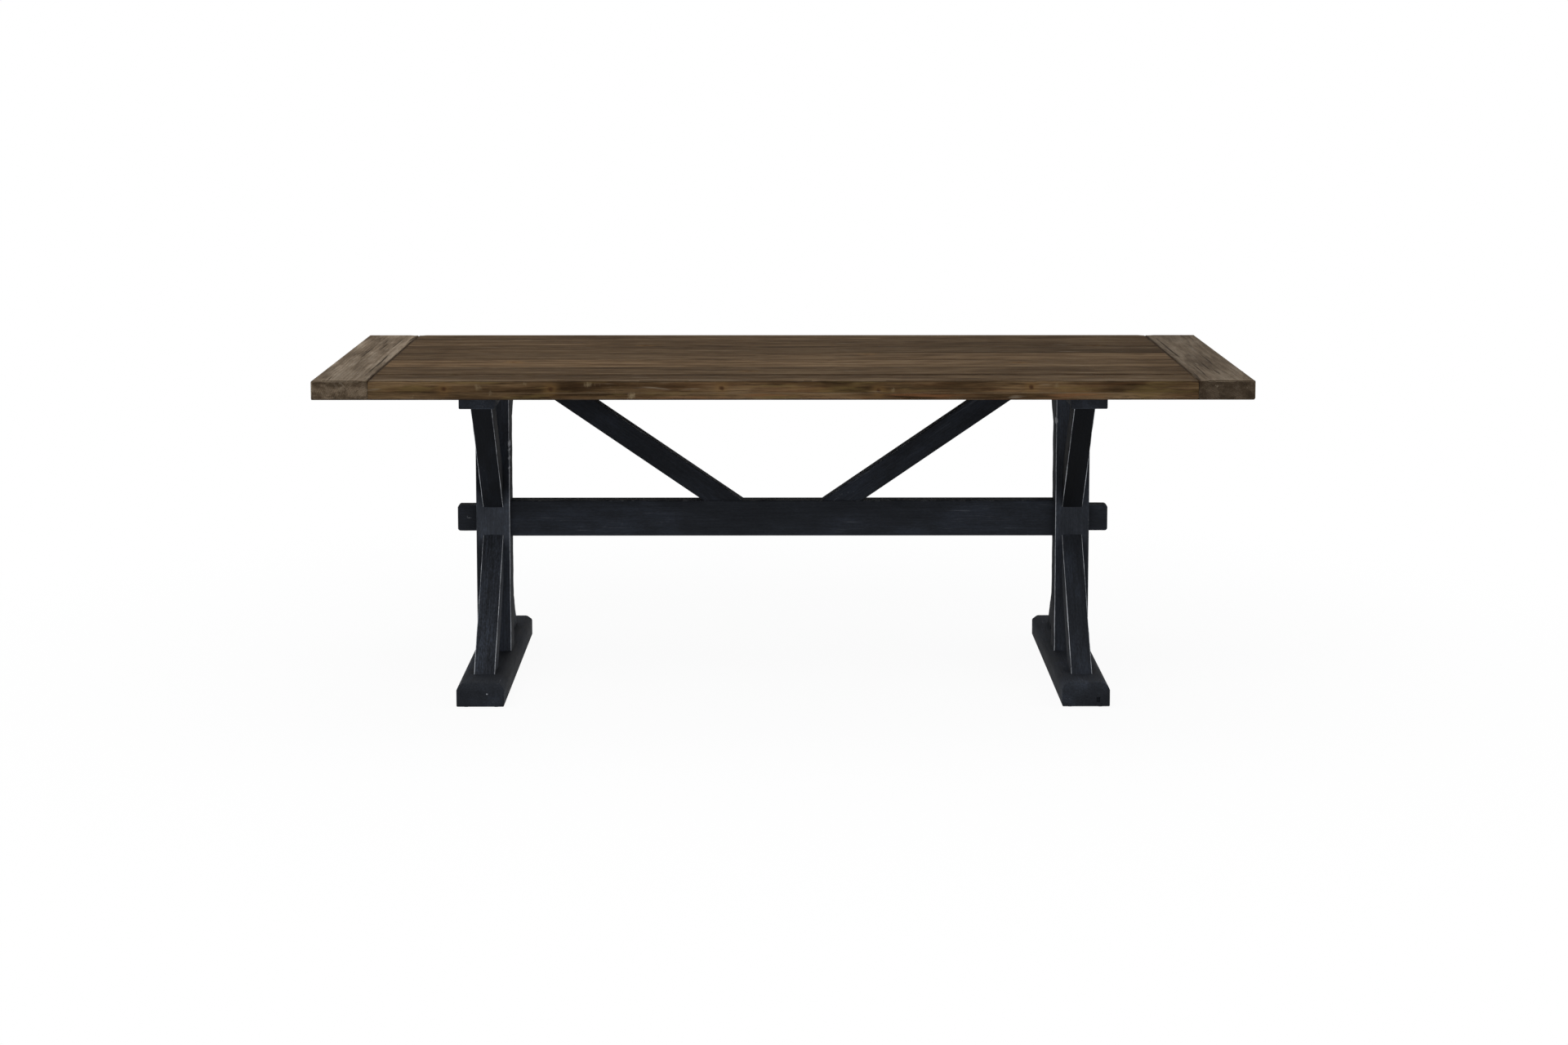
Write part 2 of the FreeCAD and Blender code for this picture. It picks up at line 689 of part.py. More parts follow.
def knee_brace(side, sign, end, turn, way, level):
    """Straight brace between post and cleat or foot, cut to sit flat on both."""
    spot = (f"{sign}(post_place)", f"{way}(post_depth / 2)",
            "upper_knee_heel" if level == "upper" else "foot_top")
    brace = new_body(f"{side}_{end}_{level}_brace", spot, turn)
    if level == "upper":
        profile = [("0", "0"), ("upper_knee_reach", "upper_knee_rise"),
                   ("upper_knee_reach - upper_knee_seat", "upper_knee_rise"), ("0", "upper_knee_shoulder")]
        peg_in_post = "upper_knee_shoulder / 2"
        peg_out = ("upper_knee_reach - upper_knee_seat / 2", "upper_knee_rise - peg_depth")
    else:
        profile = [("lower_knee_reach - lower_knee_seat", "0"), ("lower_knee_reach", "0"),
                   ("0", "lower_knee_rise"), ("0", "lower_knee_rise - lower_knee_shoulder")]
        peg_in_post = "lower_knee_rise - lower_knee_shoulder / 2"
        peg_out = ("lower_knee_reach - lower_knee_seat / 2", "-cut_overrun")
    solid = pad(brace, "bar", "YZ_Plane", profile, "knee_width")
    ease(brace, "arris", solid, "timber_ease", is_slanted)
    depth = "peg_depth + cut_overrun"
    drill(brace, "post_peg_hole", "peg_hole", depth, ("0", "-cut_overrun", peg_in_post), "Y")
    drill(brace, "end_peg_hole", "peg_hole", depth, ("0", peg_out[0], peg_out[1]))


# Stretcher and diagonal braces

def stretcher():
    """Rail between the posts with a tenon at each end that passes through and stands out."""
    rail = new_body("stretcher", ("0", "0", "stretcher_bottom"))
    size = ("stretcher_length", "stretcher_width", "stretcher_height")
    solid = block(rail, "beam", size, ("-(stretcher_length) / 2", "-stretcher_width / 2", "0"))
    solid = ease(rail, "arris", solid, "timber_ease", lambda edge: runs_along(edge, "x"))
    bottom = "(stretcher_height - tenon_height) / 2"
    size = ("tenon_length", "tenon_width", "tenon_height")
    for side, start in (("left", "-(stretcher_length) / 2 - tenon_length"), ("right", "stretcher_length / 2")):
        solid = block(rail, f"{side}_tenon", size, (start, "-tenon_width / 2", bottom))
    tip = "stretcher_length / 2 + tenon_length"

    def wanted(edge):
        at_tip = lies_at(edge, "x", tip) or lies_at(edge, "x", f"-({tip})")
        return at_tip and runs_along(edge, "y")
    ease(rail, "tenon_tips", solid, "tenon_tip_round", wanted, "Fillet")
    peg_x = diagonal_peg_places()["lower"][0]
    for side, sign in (("left", "-"), ("right", "")):
        start = (f"{sign}({peg_x})", "0", "stretcher_height - peg_depth")
        drill(rail, f"{side}_peg_hole", "peg_hole", "peg_depth + cut_overrun", start)


def diagonal_peg_places():
    """Middle of a diagonal brace's lower and upper seats, along the table and in height."""
    return {"lower": ("diagonal_middle_gap + diagonal_foot / 2", "stretcher_top"),
            "upper": ("diagonal_middle_gap + diagonal_run + diagonal_foot / 2", "top_underside")}


def diagonal_brace(side, turn, sign):
    """Slanted brace from the stretcher up to the block beside the cleat, cut level at both ends."""
    brace = new_body(f"{side}_diagonal_brace", (f"{sign}(diagonal_middle_gap)", "0", "stretcher_top"), turn)
    profile = [("0", "0"), ("diagonal_foot", "0"), ("diagonal_foot + diagonal_run", "diagonal_rise"),
               ("diagonal_run", "diagonal_rise")]
    solid = pad(brace, "bar", "XZ_Plane", profile, "diagonal_width")
    ease(brace, "arris", solid, "timber_ease", is_slanted)
    depth = "peg_depth + cut_overrun"
    drill(brace, "lower_peg_hole", "peg_hole", depth, ("diagonal_foot / 2", "0", "-cut_overrun"))
    drill(brace, "upper_peg_hole", "peg_hole", depth,
          ("diagonal_run + diagonal_foot / 2", "0", "diagonal_rise - peg_depth"))


# Shared fasteners

def brace_dowels():
    """Dowels across every brace joint, half in each piece."""
    dowels = []
    half = "peg_length / 2"
    for side, sign in (("left", "-"), ("right", "")):
        x = f"{sign}(post_place)"
        for end, way in (("front", "-"), ("rear", "")):
            title = f"{side}_{end}"
            for level, z in (("upper", "upper_knee_heel + upper_knee_shoulder / 2"),
                             ("lower", "lower_knee_heel - lower_knee_shoulder / 2")):
                at = (x, f"{way}(post_depth / 2) - {half}", z)
                dowels.append(cylinder(f"{title}_{level}_post_peg", "peg_radius", "peg_length", at, "Y"))
            at = (x, f"{way}(post_depth / 2 + upper_knee_reach - upper_knee_seat / 2)",
                  f"cleat_underside - {half}")
            dowels.append(cylinder(f"{title}_cleat_peg", "peg_radius", "peg_length", at))
            at = (x, f"{way}(post_depth / 2 + lower_knee_reach - lower_knee_seat / 2)", f"foot_top - {half}")
            dowels.append(cylinder(f"{title}_foot_peg", "peg_radius", "peg_length", at))
        for level, (along, z) in diagonal_peg_places().items():
            at = (f"{sign}({along})", "0", f"{z} - {half}")
            dowels.append(cylinder(f"{side}_{level}_diagonal_peg", "peg_radius", "peg_length", at))
    group("brace_dowels", dowels)


def frame_screws():
    """Long screws up through the cleats and the end battens."""
    screws = []
    for side, sign in (("left", "-"), ("right", "")):
        for name, line in cleat_screw_lines().items():
            title = f"{side}_{name}_cleat_screw"
            screws.append(screw(title, f"{sign}(post_place)", line, "long_seat", "long_screw"))
        for number, line in enumerate(plank_lines(), start=1):
            title = f"{side}_batten_screw_{number}"
            screws.append(screw(title, f"{sign}(end_batten_centre)", line, "long_seat", "long_screw"))
    group("frame_screws", screws)


def batten_screws():
    """Short screws up through the centre batten and the brace blocks."""
    screws = []
    for number, line in enumerate(plank_lines(), start=1):
        screws.append(screw(f"centre_batten_screw_{number}", "0", line, "short_seat", "short_screw"))
    for side, sign in (("left", "-"), ("right", "")):
        x = f"{sign}(cleat_inner - brace_block_length / 2)"
        for end, way in (("front", "-"), ("rear", "")):
            title = f"{side}_{end}_block_screw"
            screws.append(screw(title, x, f"{way}block_screw_offset", "short_seat", "short_screw"))
    group("batten_screws", screws)


# Assembly

SIDES = (("left", "-", HALF_TURN), ("right", "", Rotation()))

edge_board("front_edge_board", front=True)
for plank_number in range(1, FIELD_PLANKS + 1):
    field_plank(plank_number)
edge_board("rear_edge_board", front=False)
centre_batten()
stretcher()
for side_name, side_sign, side_turn in SIDES:
    foot(side_name, side_sign)
    post(side_name, side_sign)
    cleat(side_name, side_sign)
    for level_name in ("upper", "lower"):
        knee_brace(side_name, side_sign, "front", HALF_TURN, "-", level_name)
        knee_brace(side_name, side_sign, "rear", Rotation(), "", level_name)
    diagonal_brace(side_name, side_turn, side_sign)
    brace_block(side_name, side_turn)
    end_batten(side_name, side_sign)
    end_board(side_name, side_turn)
    # A half turn swaps front and rear, so the left runners are named the other way round.
    for end_name, end_way in (("front", "-"), ("rear", "")):
        local_way = end_way if side_name == "right" else {"-": "", "": "-"}[end_way]
        runner(side_name, end_name, side_turn, local_way)
        runner_stop(side_name, end_name, side_turn, local_way)
    align_dowels(side_name, side_turn)
    runner_screws(side_name, side_turn)
floor_glides()
brace_dowels()
frame_screws()
batten_screws()
doc.recompute()

# Checks, then one file for each node
for item in doc.Objects:
    if "Invalid" in item.State or "Error" in item.State:
        raise RuntimeError(f"{item.Label} failed: {item.State}")
for node in nodes:
    if node.Shape.isNull() or not node.Shape.isValid():
        raise RuntimeError(f"{node.Label} has no valid shape")
os.makedirs("parts", exist_ok=True)
for node in nodes:
    node.Shape.exportStep(os.path.join("parts", f"{node.Label}.step"))
whole = Part.makeCompound([node.Shape for node in nodes]).BoundBox
print(f"{len(nodes)} nodes, {whole.XLength:.1f} x {whole.YLength:.1f} x {whole.ZLength:.1f} mm")
print(f"each end slides out {measure('slide_travel'):.1f} mm")
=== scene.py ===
# %% [markdown]
# # An extending trestle dining table
# This lesson dresses the measured solids of a long plank table: a worn brown top on two black
# X-braced trestles, whose end boards pull out on hidden wooden runners. The solids come in as a
# fixed frame and are never moved. Each timber that shows is modelled again over its solid, so
# that its arrises can be rounded and knocked about, and the hidden runners keep their solids and
# only get a finish. The box round the solids is kept.

# %% Load the frame
import math

import bmesh
import bpy
import numpy as np
from mathutils import Matrix, Vector


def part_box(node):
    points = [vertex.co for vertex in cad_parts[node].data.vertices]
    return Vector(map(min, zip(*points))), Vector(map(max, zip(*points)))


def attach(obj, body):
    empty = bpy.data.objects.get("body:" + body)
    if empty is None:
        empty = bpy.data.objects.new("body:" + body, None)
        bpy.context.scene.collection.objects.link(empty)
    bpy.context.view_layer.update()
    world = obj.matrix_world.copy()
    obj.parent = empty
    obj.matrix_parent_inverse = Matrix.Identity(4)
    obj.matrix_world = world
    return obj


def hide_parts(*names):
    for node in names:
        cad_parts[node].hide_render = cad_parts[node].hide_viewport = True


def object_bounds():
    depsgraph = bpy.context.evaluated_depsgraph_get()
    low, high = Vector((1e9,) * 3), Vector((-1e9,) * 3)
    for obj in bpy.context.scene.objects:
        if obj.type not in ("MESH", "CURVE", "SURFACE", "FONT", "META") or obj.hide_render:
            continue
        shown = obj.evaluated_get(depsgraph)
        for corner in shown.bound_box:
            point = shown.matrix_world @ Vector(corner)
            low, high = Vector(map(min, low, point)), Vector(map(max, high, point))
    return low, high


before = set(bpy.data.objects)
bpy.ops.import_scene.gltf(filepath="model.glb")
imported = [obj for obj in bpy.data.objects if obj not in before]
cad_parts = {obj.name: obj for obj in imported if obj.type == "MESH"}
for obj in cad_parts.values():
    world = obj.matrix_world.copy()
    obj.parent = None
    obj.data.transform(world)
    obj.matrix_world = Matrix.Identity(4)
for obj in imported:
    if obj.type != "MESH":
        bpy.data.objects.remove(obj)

cad_low, cad_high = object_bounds()
print("solids:", len(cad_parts), "size:", [round(side, 3) for side in cad_high - cad_low])

# %% [markdown]
# ## The camera
# The photograph was taken from well back, a little above the top and almost square to the front.
# A long lens keeps the far edge of the top nearly as wide as the near one. The picture's upright
# posts stay upright, which a camera does by pointing ahead and using only the lower part of its
# image. A small shift does some of that here, and a gentle downward pitch does the rest.

# %% Camera
CAMERA_PLACE = (-0.0222, -7.2377, 1.5784)
CAMERA_PITCH = 0.1137
CAMERA_YAW = -0.0035
CAMERA_LENS = 69.05
CAMERA_SHIFT = -0.1
CAMERA_SIGHT = 200
QUARTER = math.pi / 2

scene = bpy.context.scene
bpy.ops.object.select_all(action="DESELECT")
bpy.ops.object.camera_add(location=CAMERA_PLACE, rotation=(QUARTER - CAMERA_PITCH, 0, CAMERA_YAW))
camera = bpy.context.object
camera.data.lens = CAMERA_LENS
camera.data.shift_y = CAMERA_SHIFT
camera.data.clip_end = CAMERA_SIGHT
scene.camera = camera
scene.view_settings.view_transform = "Standard"
print("camera looks along", [round(part, 3) for part in camera.rotation_euler])

# %% [markdown]
# ## Adding shader nodes
# A finish is a small network of nodes. Adding each node by its long name, and each link by hand,
# would hide the idea under typing, so a few helpers do it. One adds any node and fills its
# sockets with numbers or with other nodes' outputs. The rest name the steps used most: sums,
# noise, a soft threshold, a colour mix and a colour ramp.

# %% Node helpers
def add_node(tree, kind, inputs=None, **options):
    """Add a shader node, set its options, then fill or link its inputs."""
    made = tree.nodes.new("ShaderNode" + kind)
    for option, value in options.items():
        setattr(made, option, value)
    for name, value in (inputs or {}).items():
        socket = made.inputs[name]
        if isinstance(value, bpy.types.NodeSocket):
            tree.links.new(value, socket)
        else:
            socket.default_value = (*value, 1.0) if socket.type == "RGBA" else value
    return made


def work(tree, operation, first, second=0.0, third=0.0):
    return add_node(tree, "Math", {0: first, 1: second, 2: third}, operation=operation).outputs[0]


def times(tree, first, second):
    return work(tree, "MULTIPLY", first, second)


def times_plus(tree, first, second, third):
    return work(tree, "MULTIPLY_ADD", first, second, third)


def join(tree, operation, first, *others):
    """Largest or smallest of several values, taken pair by pair."""
    for other in others:
        first = work(tree, operation, first, other)
    return first


def vector_work(tree, operation, first, second):
    return add_node(tree, "VectorMath", {0: first, 1: second}, operation=operation).outputs[0]


def length_of(tree, vector):
    return add_node(tree, "VectorMath", {0: vector}, operation="LENGTH").outputs["Value"]


def spread(tree, value):
    """Vector whose three parts are one value."""
    return add_node(tree, "CombineXYZ", {0: value, 1: value, 2: value}).outputs[0]


def parts_of(tree, vector):
    return add_node(tree, "SeparateXYZ", {0: vector}).outputs


print("helpers for nodes, sums and vectors ready")

# %% Masks and colours
def attribute(tree, name, output="Vector"):
    return add_node(tree, "Attribute", attribute_name=name).outputs[output]


def object_point(tree):
    return add_node(tree, "TexCoord").outputs["Object"]


def noise(tree, point, stretch, detail, roughness, output="Fac"):
    """Noise whose grains are stretched by giving each axis its own scale."""
    scaled = vector_work(tree, "MULTIPLY", point, stretch)
    return add_node(tree, "TexNoise", {"Vector": scaled, "Scale": 1.0, "Detail": detail,
                                       "Roughness": roughness}).outputs[output]


def threshold(tree, value, start, end):
    """0 below the start, 1 above the end, and a smooth step between."""
    return add_node(tree, "MapRange", {"Value": value, "From Min": start, "From Max": end},
                    interpolation_type="SMOOTHSTEP").outputs["Result"]


def within(tree, value, start, end):
    """The other way round: 1 below the start and 0 above the end."""
    return work(tree, "SUBTRACT", 1.0, threshold(tree, value, start, end))


def patches(tree, point, stretch, detail, roughness, start, end):
    """Noise that a threshold turns into a mask."""
    return threshold(tree, noise(tree, point, stretch, detail, roughness), start, end)


def mix_colour(tree, share, first, second, blend="MIX"):
    return add_node(tree, "Mix", {0: share, 6: first, 7: second}, data_type="RGBA",
                    blend_type=blend).outputs[2]


def lay(tree, colour, mask, strength, shade):
    """Lay a shade over a colour where a mask says, at a strength."""
    return mix_colour(tree, times(tree, mask, strength), colour, shade)


def shade_by(tree, colour, factor):
    """Multiply a colour by one number."""
    return mix_colour(tree, 1.0, colour, spread(tree, factor), "MULTIPLY")


def ramp(tree, value, stops):
    """Colour ramp with stops given as place: colour, or as place: grey level."""
    made = add_node(tree, "ValToRGB", {"Fac": value})
    marks = made.color_ramp.elements
    for count, (spot, shade) in enumerate(stops.items()):
        mark = marks[count] if count < 2 else marks.new(spot)
        mark.position = spot
        mark.color = (*shade, 1.0) if isinstance(shade, tuple) else (shade, shade, shade, 1.0)
    return made.outputs["Color"]


print("helpers for masks and colours ready")

# %% Groups and finishes
def new_group(name, inputs, outputs):
    """Empty node group with its named sockets, and the two ends to build between."""
    group = bpy.data.node_groups.new(name, "ShaderNodeTree")
    for title, start in inputs.items():
        kind = "NodeSocketVector" if isinstance(start, tuple) else "NodeSocketFloat"
        socket = group.interface.new_socket(title, in_out="INPUT", socket_type=kind)
        socket.default_value = start
    for title in outputs:
        group.interface.new_socket(title, in_out="OUTPUT", socket_type="NodeSocketFloat")
    entry, leaving = (group.nodes.new("NodeGroup" + end) for end in ("Input", "Output"))
    return group, entry.outputs, leaving.inputs


def use_group(tree, group, **inputs):
    return add_node(tree, "Group", inputs, node_tree=group).outputs


def new_finish(name):
    """New material with its node tree emptied, ready for a finish."""
    finish = bpy.data.materials.new(name)
    finish.use_nodes = True
    finish.node_tree.nodes.clear()
    return finish, finish.node_tree


def close_finish(tree, colour, roughness, height, depth, specular, strength=1.0, metallic=0.0):
    """Principled shader fed by colour, roughness and a bump height."""
    bump = add_node(tree, "Bump", {"Height": height, "Strength": strength, "Distance": depth})
    shader = add_node(tree, "BsdfPrincipled", {
        "Base Color": colour, "Roughness": roughness, "Normal": bump.outputs["Normal"],
        "Specular IOR Level": specular, "Metallic": metallic})
    add_node(tree, "OutputMaterial", {"Surface": shader.outputs["BSDF"]})


print("helpers for groups and finishes ready")

# %% [markdown]
# ## Floor and light
# The table stands on a plain white floor under soft studio light: a wide lamp above the front, a
# weaker one at the right, one over the top and a pale room all round. The picture's white ground
# isn't made with more light, which would bleach the table. Light Path tells the floor and the room
# when a camera, a glossy or a clear surface looks at them, and only then they show white. The
# floor keeps a little of its own shading, so the feet still cast a faint shadow.

# %% Floor
WHITE = (1.0, 1.0, 1.0)
FLOOR_SHADE = (0.86, 0.86, 0.86)
FLOOR_WHITE = 0.94
FLOOR_SIDE = 60.0
NEAR_FLOOR = 0.9
FAR_FLOOR = 2.6


def seen_directly(tree):
    """1 for camera, glossy and transmission rays, 0 for the rays that carry light around."""
    path = add_node(tree, "LightPath").outputs
    return join(tree, "MAXIMUM", path["Is Camera Ray"], path["Is Glossy Ray"],
                path["Is Transmission Ray"])


bpy.ops.mesh.primitive_plane_add(size=FLOOR_SIDE)
floor = bpy.context.object
floor.name = "studio_floor"
floor_paint, tree = new_finish("studio_floor_white")
matt = add_node(tree, "BsdfDiffuse", {"Color": FLOOR_SHADE})
glow = add_node(tree, "Emission", {"Color": WHITE, "Strength": 1.0})
far_off = threshold(tree, length_of(tree, object_point(tree)), NEAR_FLOOR, FAR_FLOOR)
whiteness = times_plus(tree, far_off, 1 - FLOOR_WHITE, FLOOR_WHITE)
share = times(tree, seen_directly(tree), whiteness)
whole = add_node(tree, "MixShader", {0: share, 1: matt.outputs[0], 2: glow.outputs[0]})
add_node(tree, "OutputMaterial", {"Surface": whole.outputs[0]})
floor.data.materials.append(floor_paint)
print("stage:", floor.name)

# %% Room and lamps
ROOM_SHADE = (0.95, 0.97, 1.0)
ROOM_LEVEL = 0.45
LAMPS = {"key_lamp": ((-1.8, -3.6, 4.2), (0, 0, 0.4), (4.0, 3.0), 135),
         "fill_lamp": ((3.4, -3.2, 2.6), (0, 0, 0.5), (2.5, 2.5), 40),
         "top_lamp": ((0, 1.2, 4.6), (0, 0, 0.7), (4.0, 2.0), 46)}

room = bpy.data.worlds.new("studio_room")
scene.world = room
room.use_nodes = True
tree = room.node_tree
tree.nodes.clear()
pale = add_node(tree, "Background", {"Color": ROOM_SHADE, "Strength": ROOM_LEVEL})
white = add_node(tree, "Background", {"Color": WHITE, "Strength": 1.0})
share = seen_directly(tree)
whole = add_node(tree, "MixShader", {0: share, 1: pale.outputs[0], 2: white.outputs[0]})
add_node(tree, "OutputWorld", {"Surface": whole.outputs[0]})

for name, (place, aim, sides, watts) in LAMPS.items():
    bpy.ops.object.light_add(type="AREA", location=place)
    lamp = bpy.context.object
    lamp.name = name
    lamp.data.shape = "RECTANGLE"
    lamp.data.size, lamp.data.size_y = sides
    lamp.data.energy = watts
    lamp.rotation_euler = (Vector(aim) - Vector(place)).to_track_quat("-Z", "Y").to_euler()
print("light:", room.name, *LAMPS)

# %% [markdown]
# ## Wood figure, as a shared group
# Every board was sawn from a trunk, so its pattern is a slice through growth rings. The group
# works that way round: it takes a point in the timber with X along the grain, measures how far it
# lies from the trunk's heart, and turns that distance into rings. Long soft noise makes the rings
# sway. The same group also gives hair-fine fibres, streaks, broad bands, broader zones and short
# dark pores, all drawn out along the grain. A seed moves the pattern, so that no two boards are
# the same slice.

# %% Wood figure group
SEED_SHIFT = (1.7, 2.3, 3.1)
HEART_SIDE = 0.07
HEART_DROP = -0.07
HEART_SWING = 0.03
RIPPLE = 0.006
RING_STOPS = {0.0: 0.0, 0.55: 0.25, 0.86: 1.0, 1.0: 0.05}
GRAIN = {"Streaks": ((3.5, 150.0, 150.0), 6.0, 0.68), "Bands": ((2.6, 19.0, 19.0), 5.0, 0.58),
         "Zones": ((1.0, 9.0, 9.0), 3.0, 0.5)}

figure_group, given, result = new_group(
    "wood_figure", {"Point": (0, 0, 0), "Seed": 0.0, "Spacing": 0.006, "Sway": 0.03},
    ["Rings", "Streaks", "Bands", "Zones", "Fibres", "Pores"])
tree = figure_group
seed = given["Seed"]
shift = vector_work(tree, "MULTIPLY", spread(tree, seed), SEED_SHIFT)
moved = vector_work(tree, "ADD", given["Point"], shift)
slow = noise(tree, moved, (0.9, 5.0, 5.0), 2.0, 0.5, "Color")
slow = vector_work(tree, "SUBTRACT", slow, (0.5, 0.5, 0.5))
swing = add_node(tree, "VectorMath", {0: slow, "Scale": given["Sway"]},
                 operation="SCALE").outputs[0]
bent = parts_of(tree, vector_work(tree, "ADD", given["Point"], swing))
wavy = vector_work(tree, "ADD", moved, swing)
heart_side = times(tree, work(tree, "SINE", times(tree, seed, 12.9)), HEART_SIDE)
heart_drop = work(tree, "SINE", times(tree, seed, 7.7))
heart_drop = times_plus(tree, heart_drop, HEART_SWING, HEART_DROP)
across = work(tree, "SUBTRACT", bent["Y"], heart_side)
up = work(tree, "SUBTRACT", bent["Z"], heart_drop)
radius = work(tree, "SQRT", work(tree, "ADD", times(tree, across, across), times(tree, up, up)))
radius = times_plus(tree, noise(tree, moved, (4.0, 55.0, 55.0), 3.0, 0.6), RIPPLE, radius)
ring = work(tree, "FRACT", work(tree, "DIVIDE", radius, given["Spacing"]))
drawn = {title: noise(tree, wavy, *settings) for title, settings in GRAIN.items()}
drawn["Rings"] = ramp(tree, ring, RING_STOPS)
drawn["Fibres"] = patches(tree, wavy, (11.0, 520.0, 520.0), 3.0, 0.6, 0.32, 0.68)
drawn["Pores"] = patches(tree, moved, (32.0, 800.0, 800.0), 2.0, 0.5, 0.58, 0.70)
for title, value in drawn.items():
    tree.links.new(value, result[title])
print("group:", figure_group.name, [socket.name for socket in figure_group.interface.items_tree])

# %% [markdown]
# ## Rubbed arrises and scuffs, as shared groups
# An arris is the line where two faces meet, and it is where a finish wears through first. Each
# modelled timber carries how far every point lies from its nearest arris. The first group keeps
# what lies within reach of it and breaks the line with noise, so that it comes and goes as rubbing
# by hand does. The second group scatters short scrapes along the timber and a few across it.

# %% Wear groups
REACH_SHARES = (0.6, 1.4)

rubbed_group, given, result = new_group(
    "rubbed_arris", {"Reach": 0.0016, "Ragged": 0.003, "Seed": 0.0}, ["Mask"])
tree = rubbed_group
place = vector_work(tree, "ADD", attribute(tree, "timber"), spread(tree, given["Seed"]))
long_break = work(tree, "SUBTRACT", noise(tree, place, (9.0, 22.0, 22.0), 3.0, 0.6), 0.5)
short_break = work(tree, "SUBTRACT", noise(tree, place, (150.0, 300.0, 300.0), 2.0, 0.6), 0.5)
breaks = times_plus(tree, short_break, 0.6, long_break)
edge = times_plus(tree, breaks, given["Ragged"], attribute(tree, "arris", "Fac"))
near, far = (times(tree, given["Reach"], share) for share in REACH_SHARES)
tree.links.new(within(tree, edge, near, far), result["Mask"])

scuff_group, given, result = new_group(
    "scuffs", {"Point": (0, 0, 0), "Seed": 0.0, "Amount": 0.5}, ["Mask"])
tree = scuff_group
place = vector_work(tree, "ADD", given["Point"], spread(tree, given["Seed"]))
where = patches(tree, place, (5.0, 14.0, 14.0), 2.0, 0.5, 0.50, 0.72)
lengthwise = patches(tree, place, (14.0, 420.0, 420.0), 3.0, 0.6, 0.60, 0.70)
athwart = patches(tree, place, (260.0, 60.0, 60.0), 3.0, 0.6, 0.66, 0.74)
specks = patches(tree, place, (240.0, 240.0, 240.0), 1.0, 0.5, 0.74, 0.80)
marks = join(tree, "MAXIMUM", lengthwise, times(tree, athwart, 0.7), specks)
marks = times(tree, times(tree, marks, where), given["Amount"])
tree.links.new(marks, result["Mask"])
print("groups:", rubbed_group.name, scuff_group.name)

# %% [markdown]
# ## Knots, chips and the glue line
# A few marks belong to one place and can't be left to noise. Knots are the stumps of branches:
# dark discs with an ochre halo, where the rings swing round them. Along the front edge the sharp
# corner has chipped and bare wood shows, and a fine line runs where a strip was glued under the
# plank to make the edge look thicker. Each mark is found by its distance from a listed place.

# %% Knots and torn spots
FRONT, TOP = cad_low.y, cad_high.z
EDGE_KNOTS = [(x, FRONT, z) for x, z in (
    (-0.767, 0.757), (-0.526, 0.755), (-0.139, 0.758), (0.215, 0.752), (0.560, 0.760))]
EDGE_KNOT_HALVES = (0.0052, 0, 0.0046)
FACE_KNOTS = [(x, y, TOP) for x, y in (
    (-0.341, 0.242), (0.780, 0.236), (-0.640, -0.125), (0.205, 0.045), (-0.080, -0.315),
    (0.560, -0.140))]
FACE_KNOT_HALVES = (0.0075, 0.0055, 0)
KNOT_HALO = (0.142, 0.080, 0.030)
KNOT_HEART = (0.034, 0.014, 0.007)


def board_values(tree):
    """Seed, tone and contrast of the board that a point belongs to, as X, Y and Z."""
    return parts_of(tree, attribute(tree, "board"))


def distance_from(tree, spot, place, halves):
    """Distance from a place in half sizes. An axis with no half size isn't measured."""
    scale = [1 / half if half else 0.0 for half in halves]
    offset = vector_work(tree, "SUBTRACT", spot, place)
    return length_of(tree, vector_work(tree, "MULTIPLY", offset, scale))


def add_knots(tree, colour, spot, knots, halves):
    """Dark knots with an ochre halo, at listed places."""
    nearest = join(tree, "MINIMUM", *[distance_from(tree, spot, knot, halves) for knot in knots])
    nearest = times_plus(tree, noise(tree, spot, (90.0, 90.0, 90.0), 2.0, 0.5), 1.6, nearest)
    colour = lay(tree, colour, within(tree, nearest, 1.4, 6.0), 0.45, KNOT_HALO)
    return lay(tree, colour, within(tree, nearest, 1.0, 2.5), 0.85, KNOT_HEART)


def ragged_spots(tree, spot, listed, ragged, start, end):
    """Mask of torn spots, listed by place, half sizes and strength. Noise makes them ragged."""
    masks = []
    for place, halves, strength in listed:
        away = times_plus(tree, *ragged, distance_from(tree, spot, place, halves))
        masks.append(times(tree, within(tree, away, start, end), strength))
    return join(tree, "MAXIMUM", *masks)


print("knots:", len(EDGE_KNOTS) + len(FACE_KNOTS))

# %% Marks of the long edges
EDGE_CHIPS = [((x, FRONT, z), (half_length, 0, half_height), strength)
              for x, z, half_length, half_height, strength in (
    (-0.440, 0.767, 0.012, 0.006, 0.55), (-0.342, 0.740, 0.009, 0.008, 0.70),
    (-0.690, 0.759, 0.008, 0.008, 0.40), (-0.660, 0.747, 0.006, 0.008, 0.30),
    (-0.838, 0.738, 0.005, 0.005, 0.40), (0.616, 0.764, 0.006, 0.006, 0.30),
    (0.248, 0.753, 0.005, 0.006, 0.35), (-0.585, 0.768, 0.008, 0.004, 0.30))]
GLUE_LINE = 0.747
GLUE_BLUR = 0.0004
GLUE_SHOWS = (0.0005, 0.0018)
ROSY_FROM = (-0.7, 0.1)
LOWER_ARRIS_LEVELS = (TOP - 0.0395, TOP - 0.0345)
LOWER_ARRIS_SWAY = 0.010
CHECK_SLANT = 0.05
OLIVE = (0.128, 0.087, 0.033)
ROSY = (0.145, 0.066, 0.029)
GLUE = (0.150, 0.100, 0.060)
LOWER_ARRIS_DARK = (0.016, 0.012, 0.012)
CHECK = (0.014, 0.008, 0.005)
CHIPPED = (0.200, 0.152, 0.090)


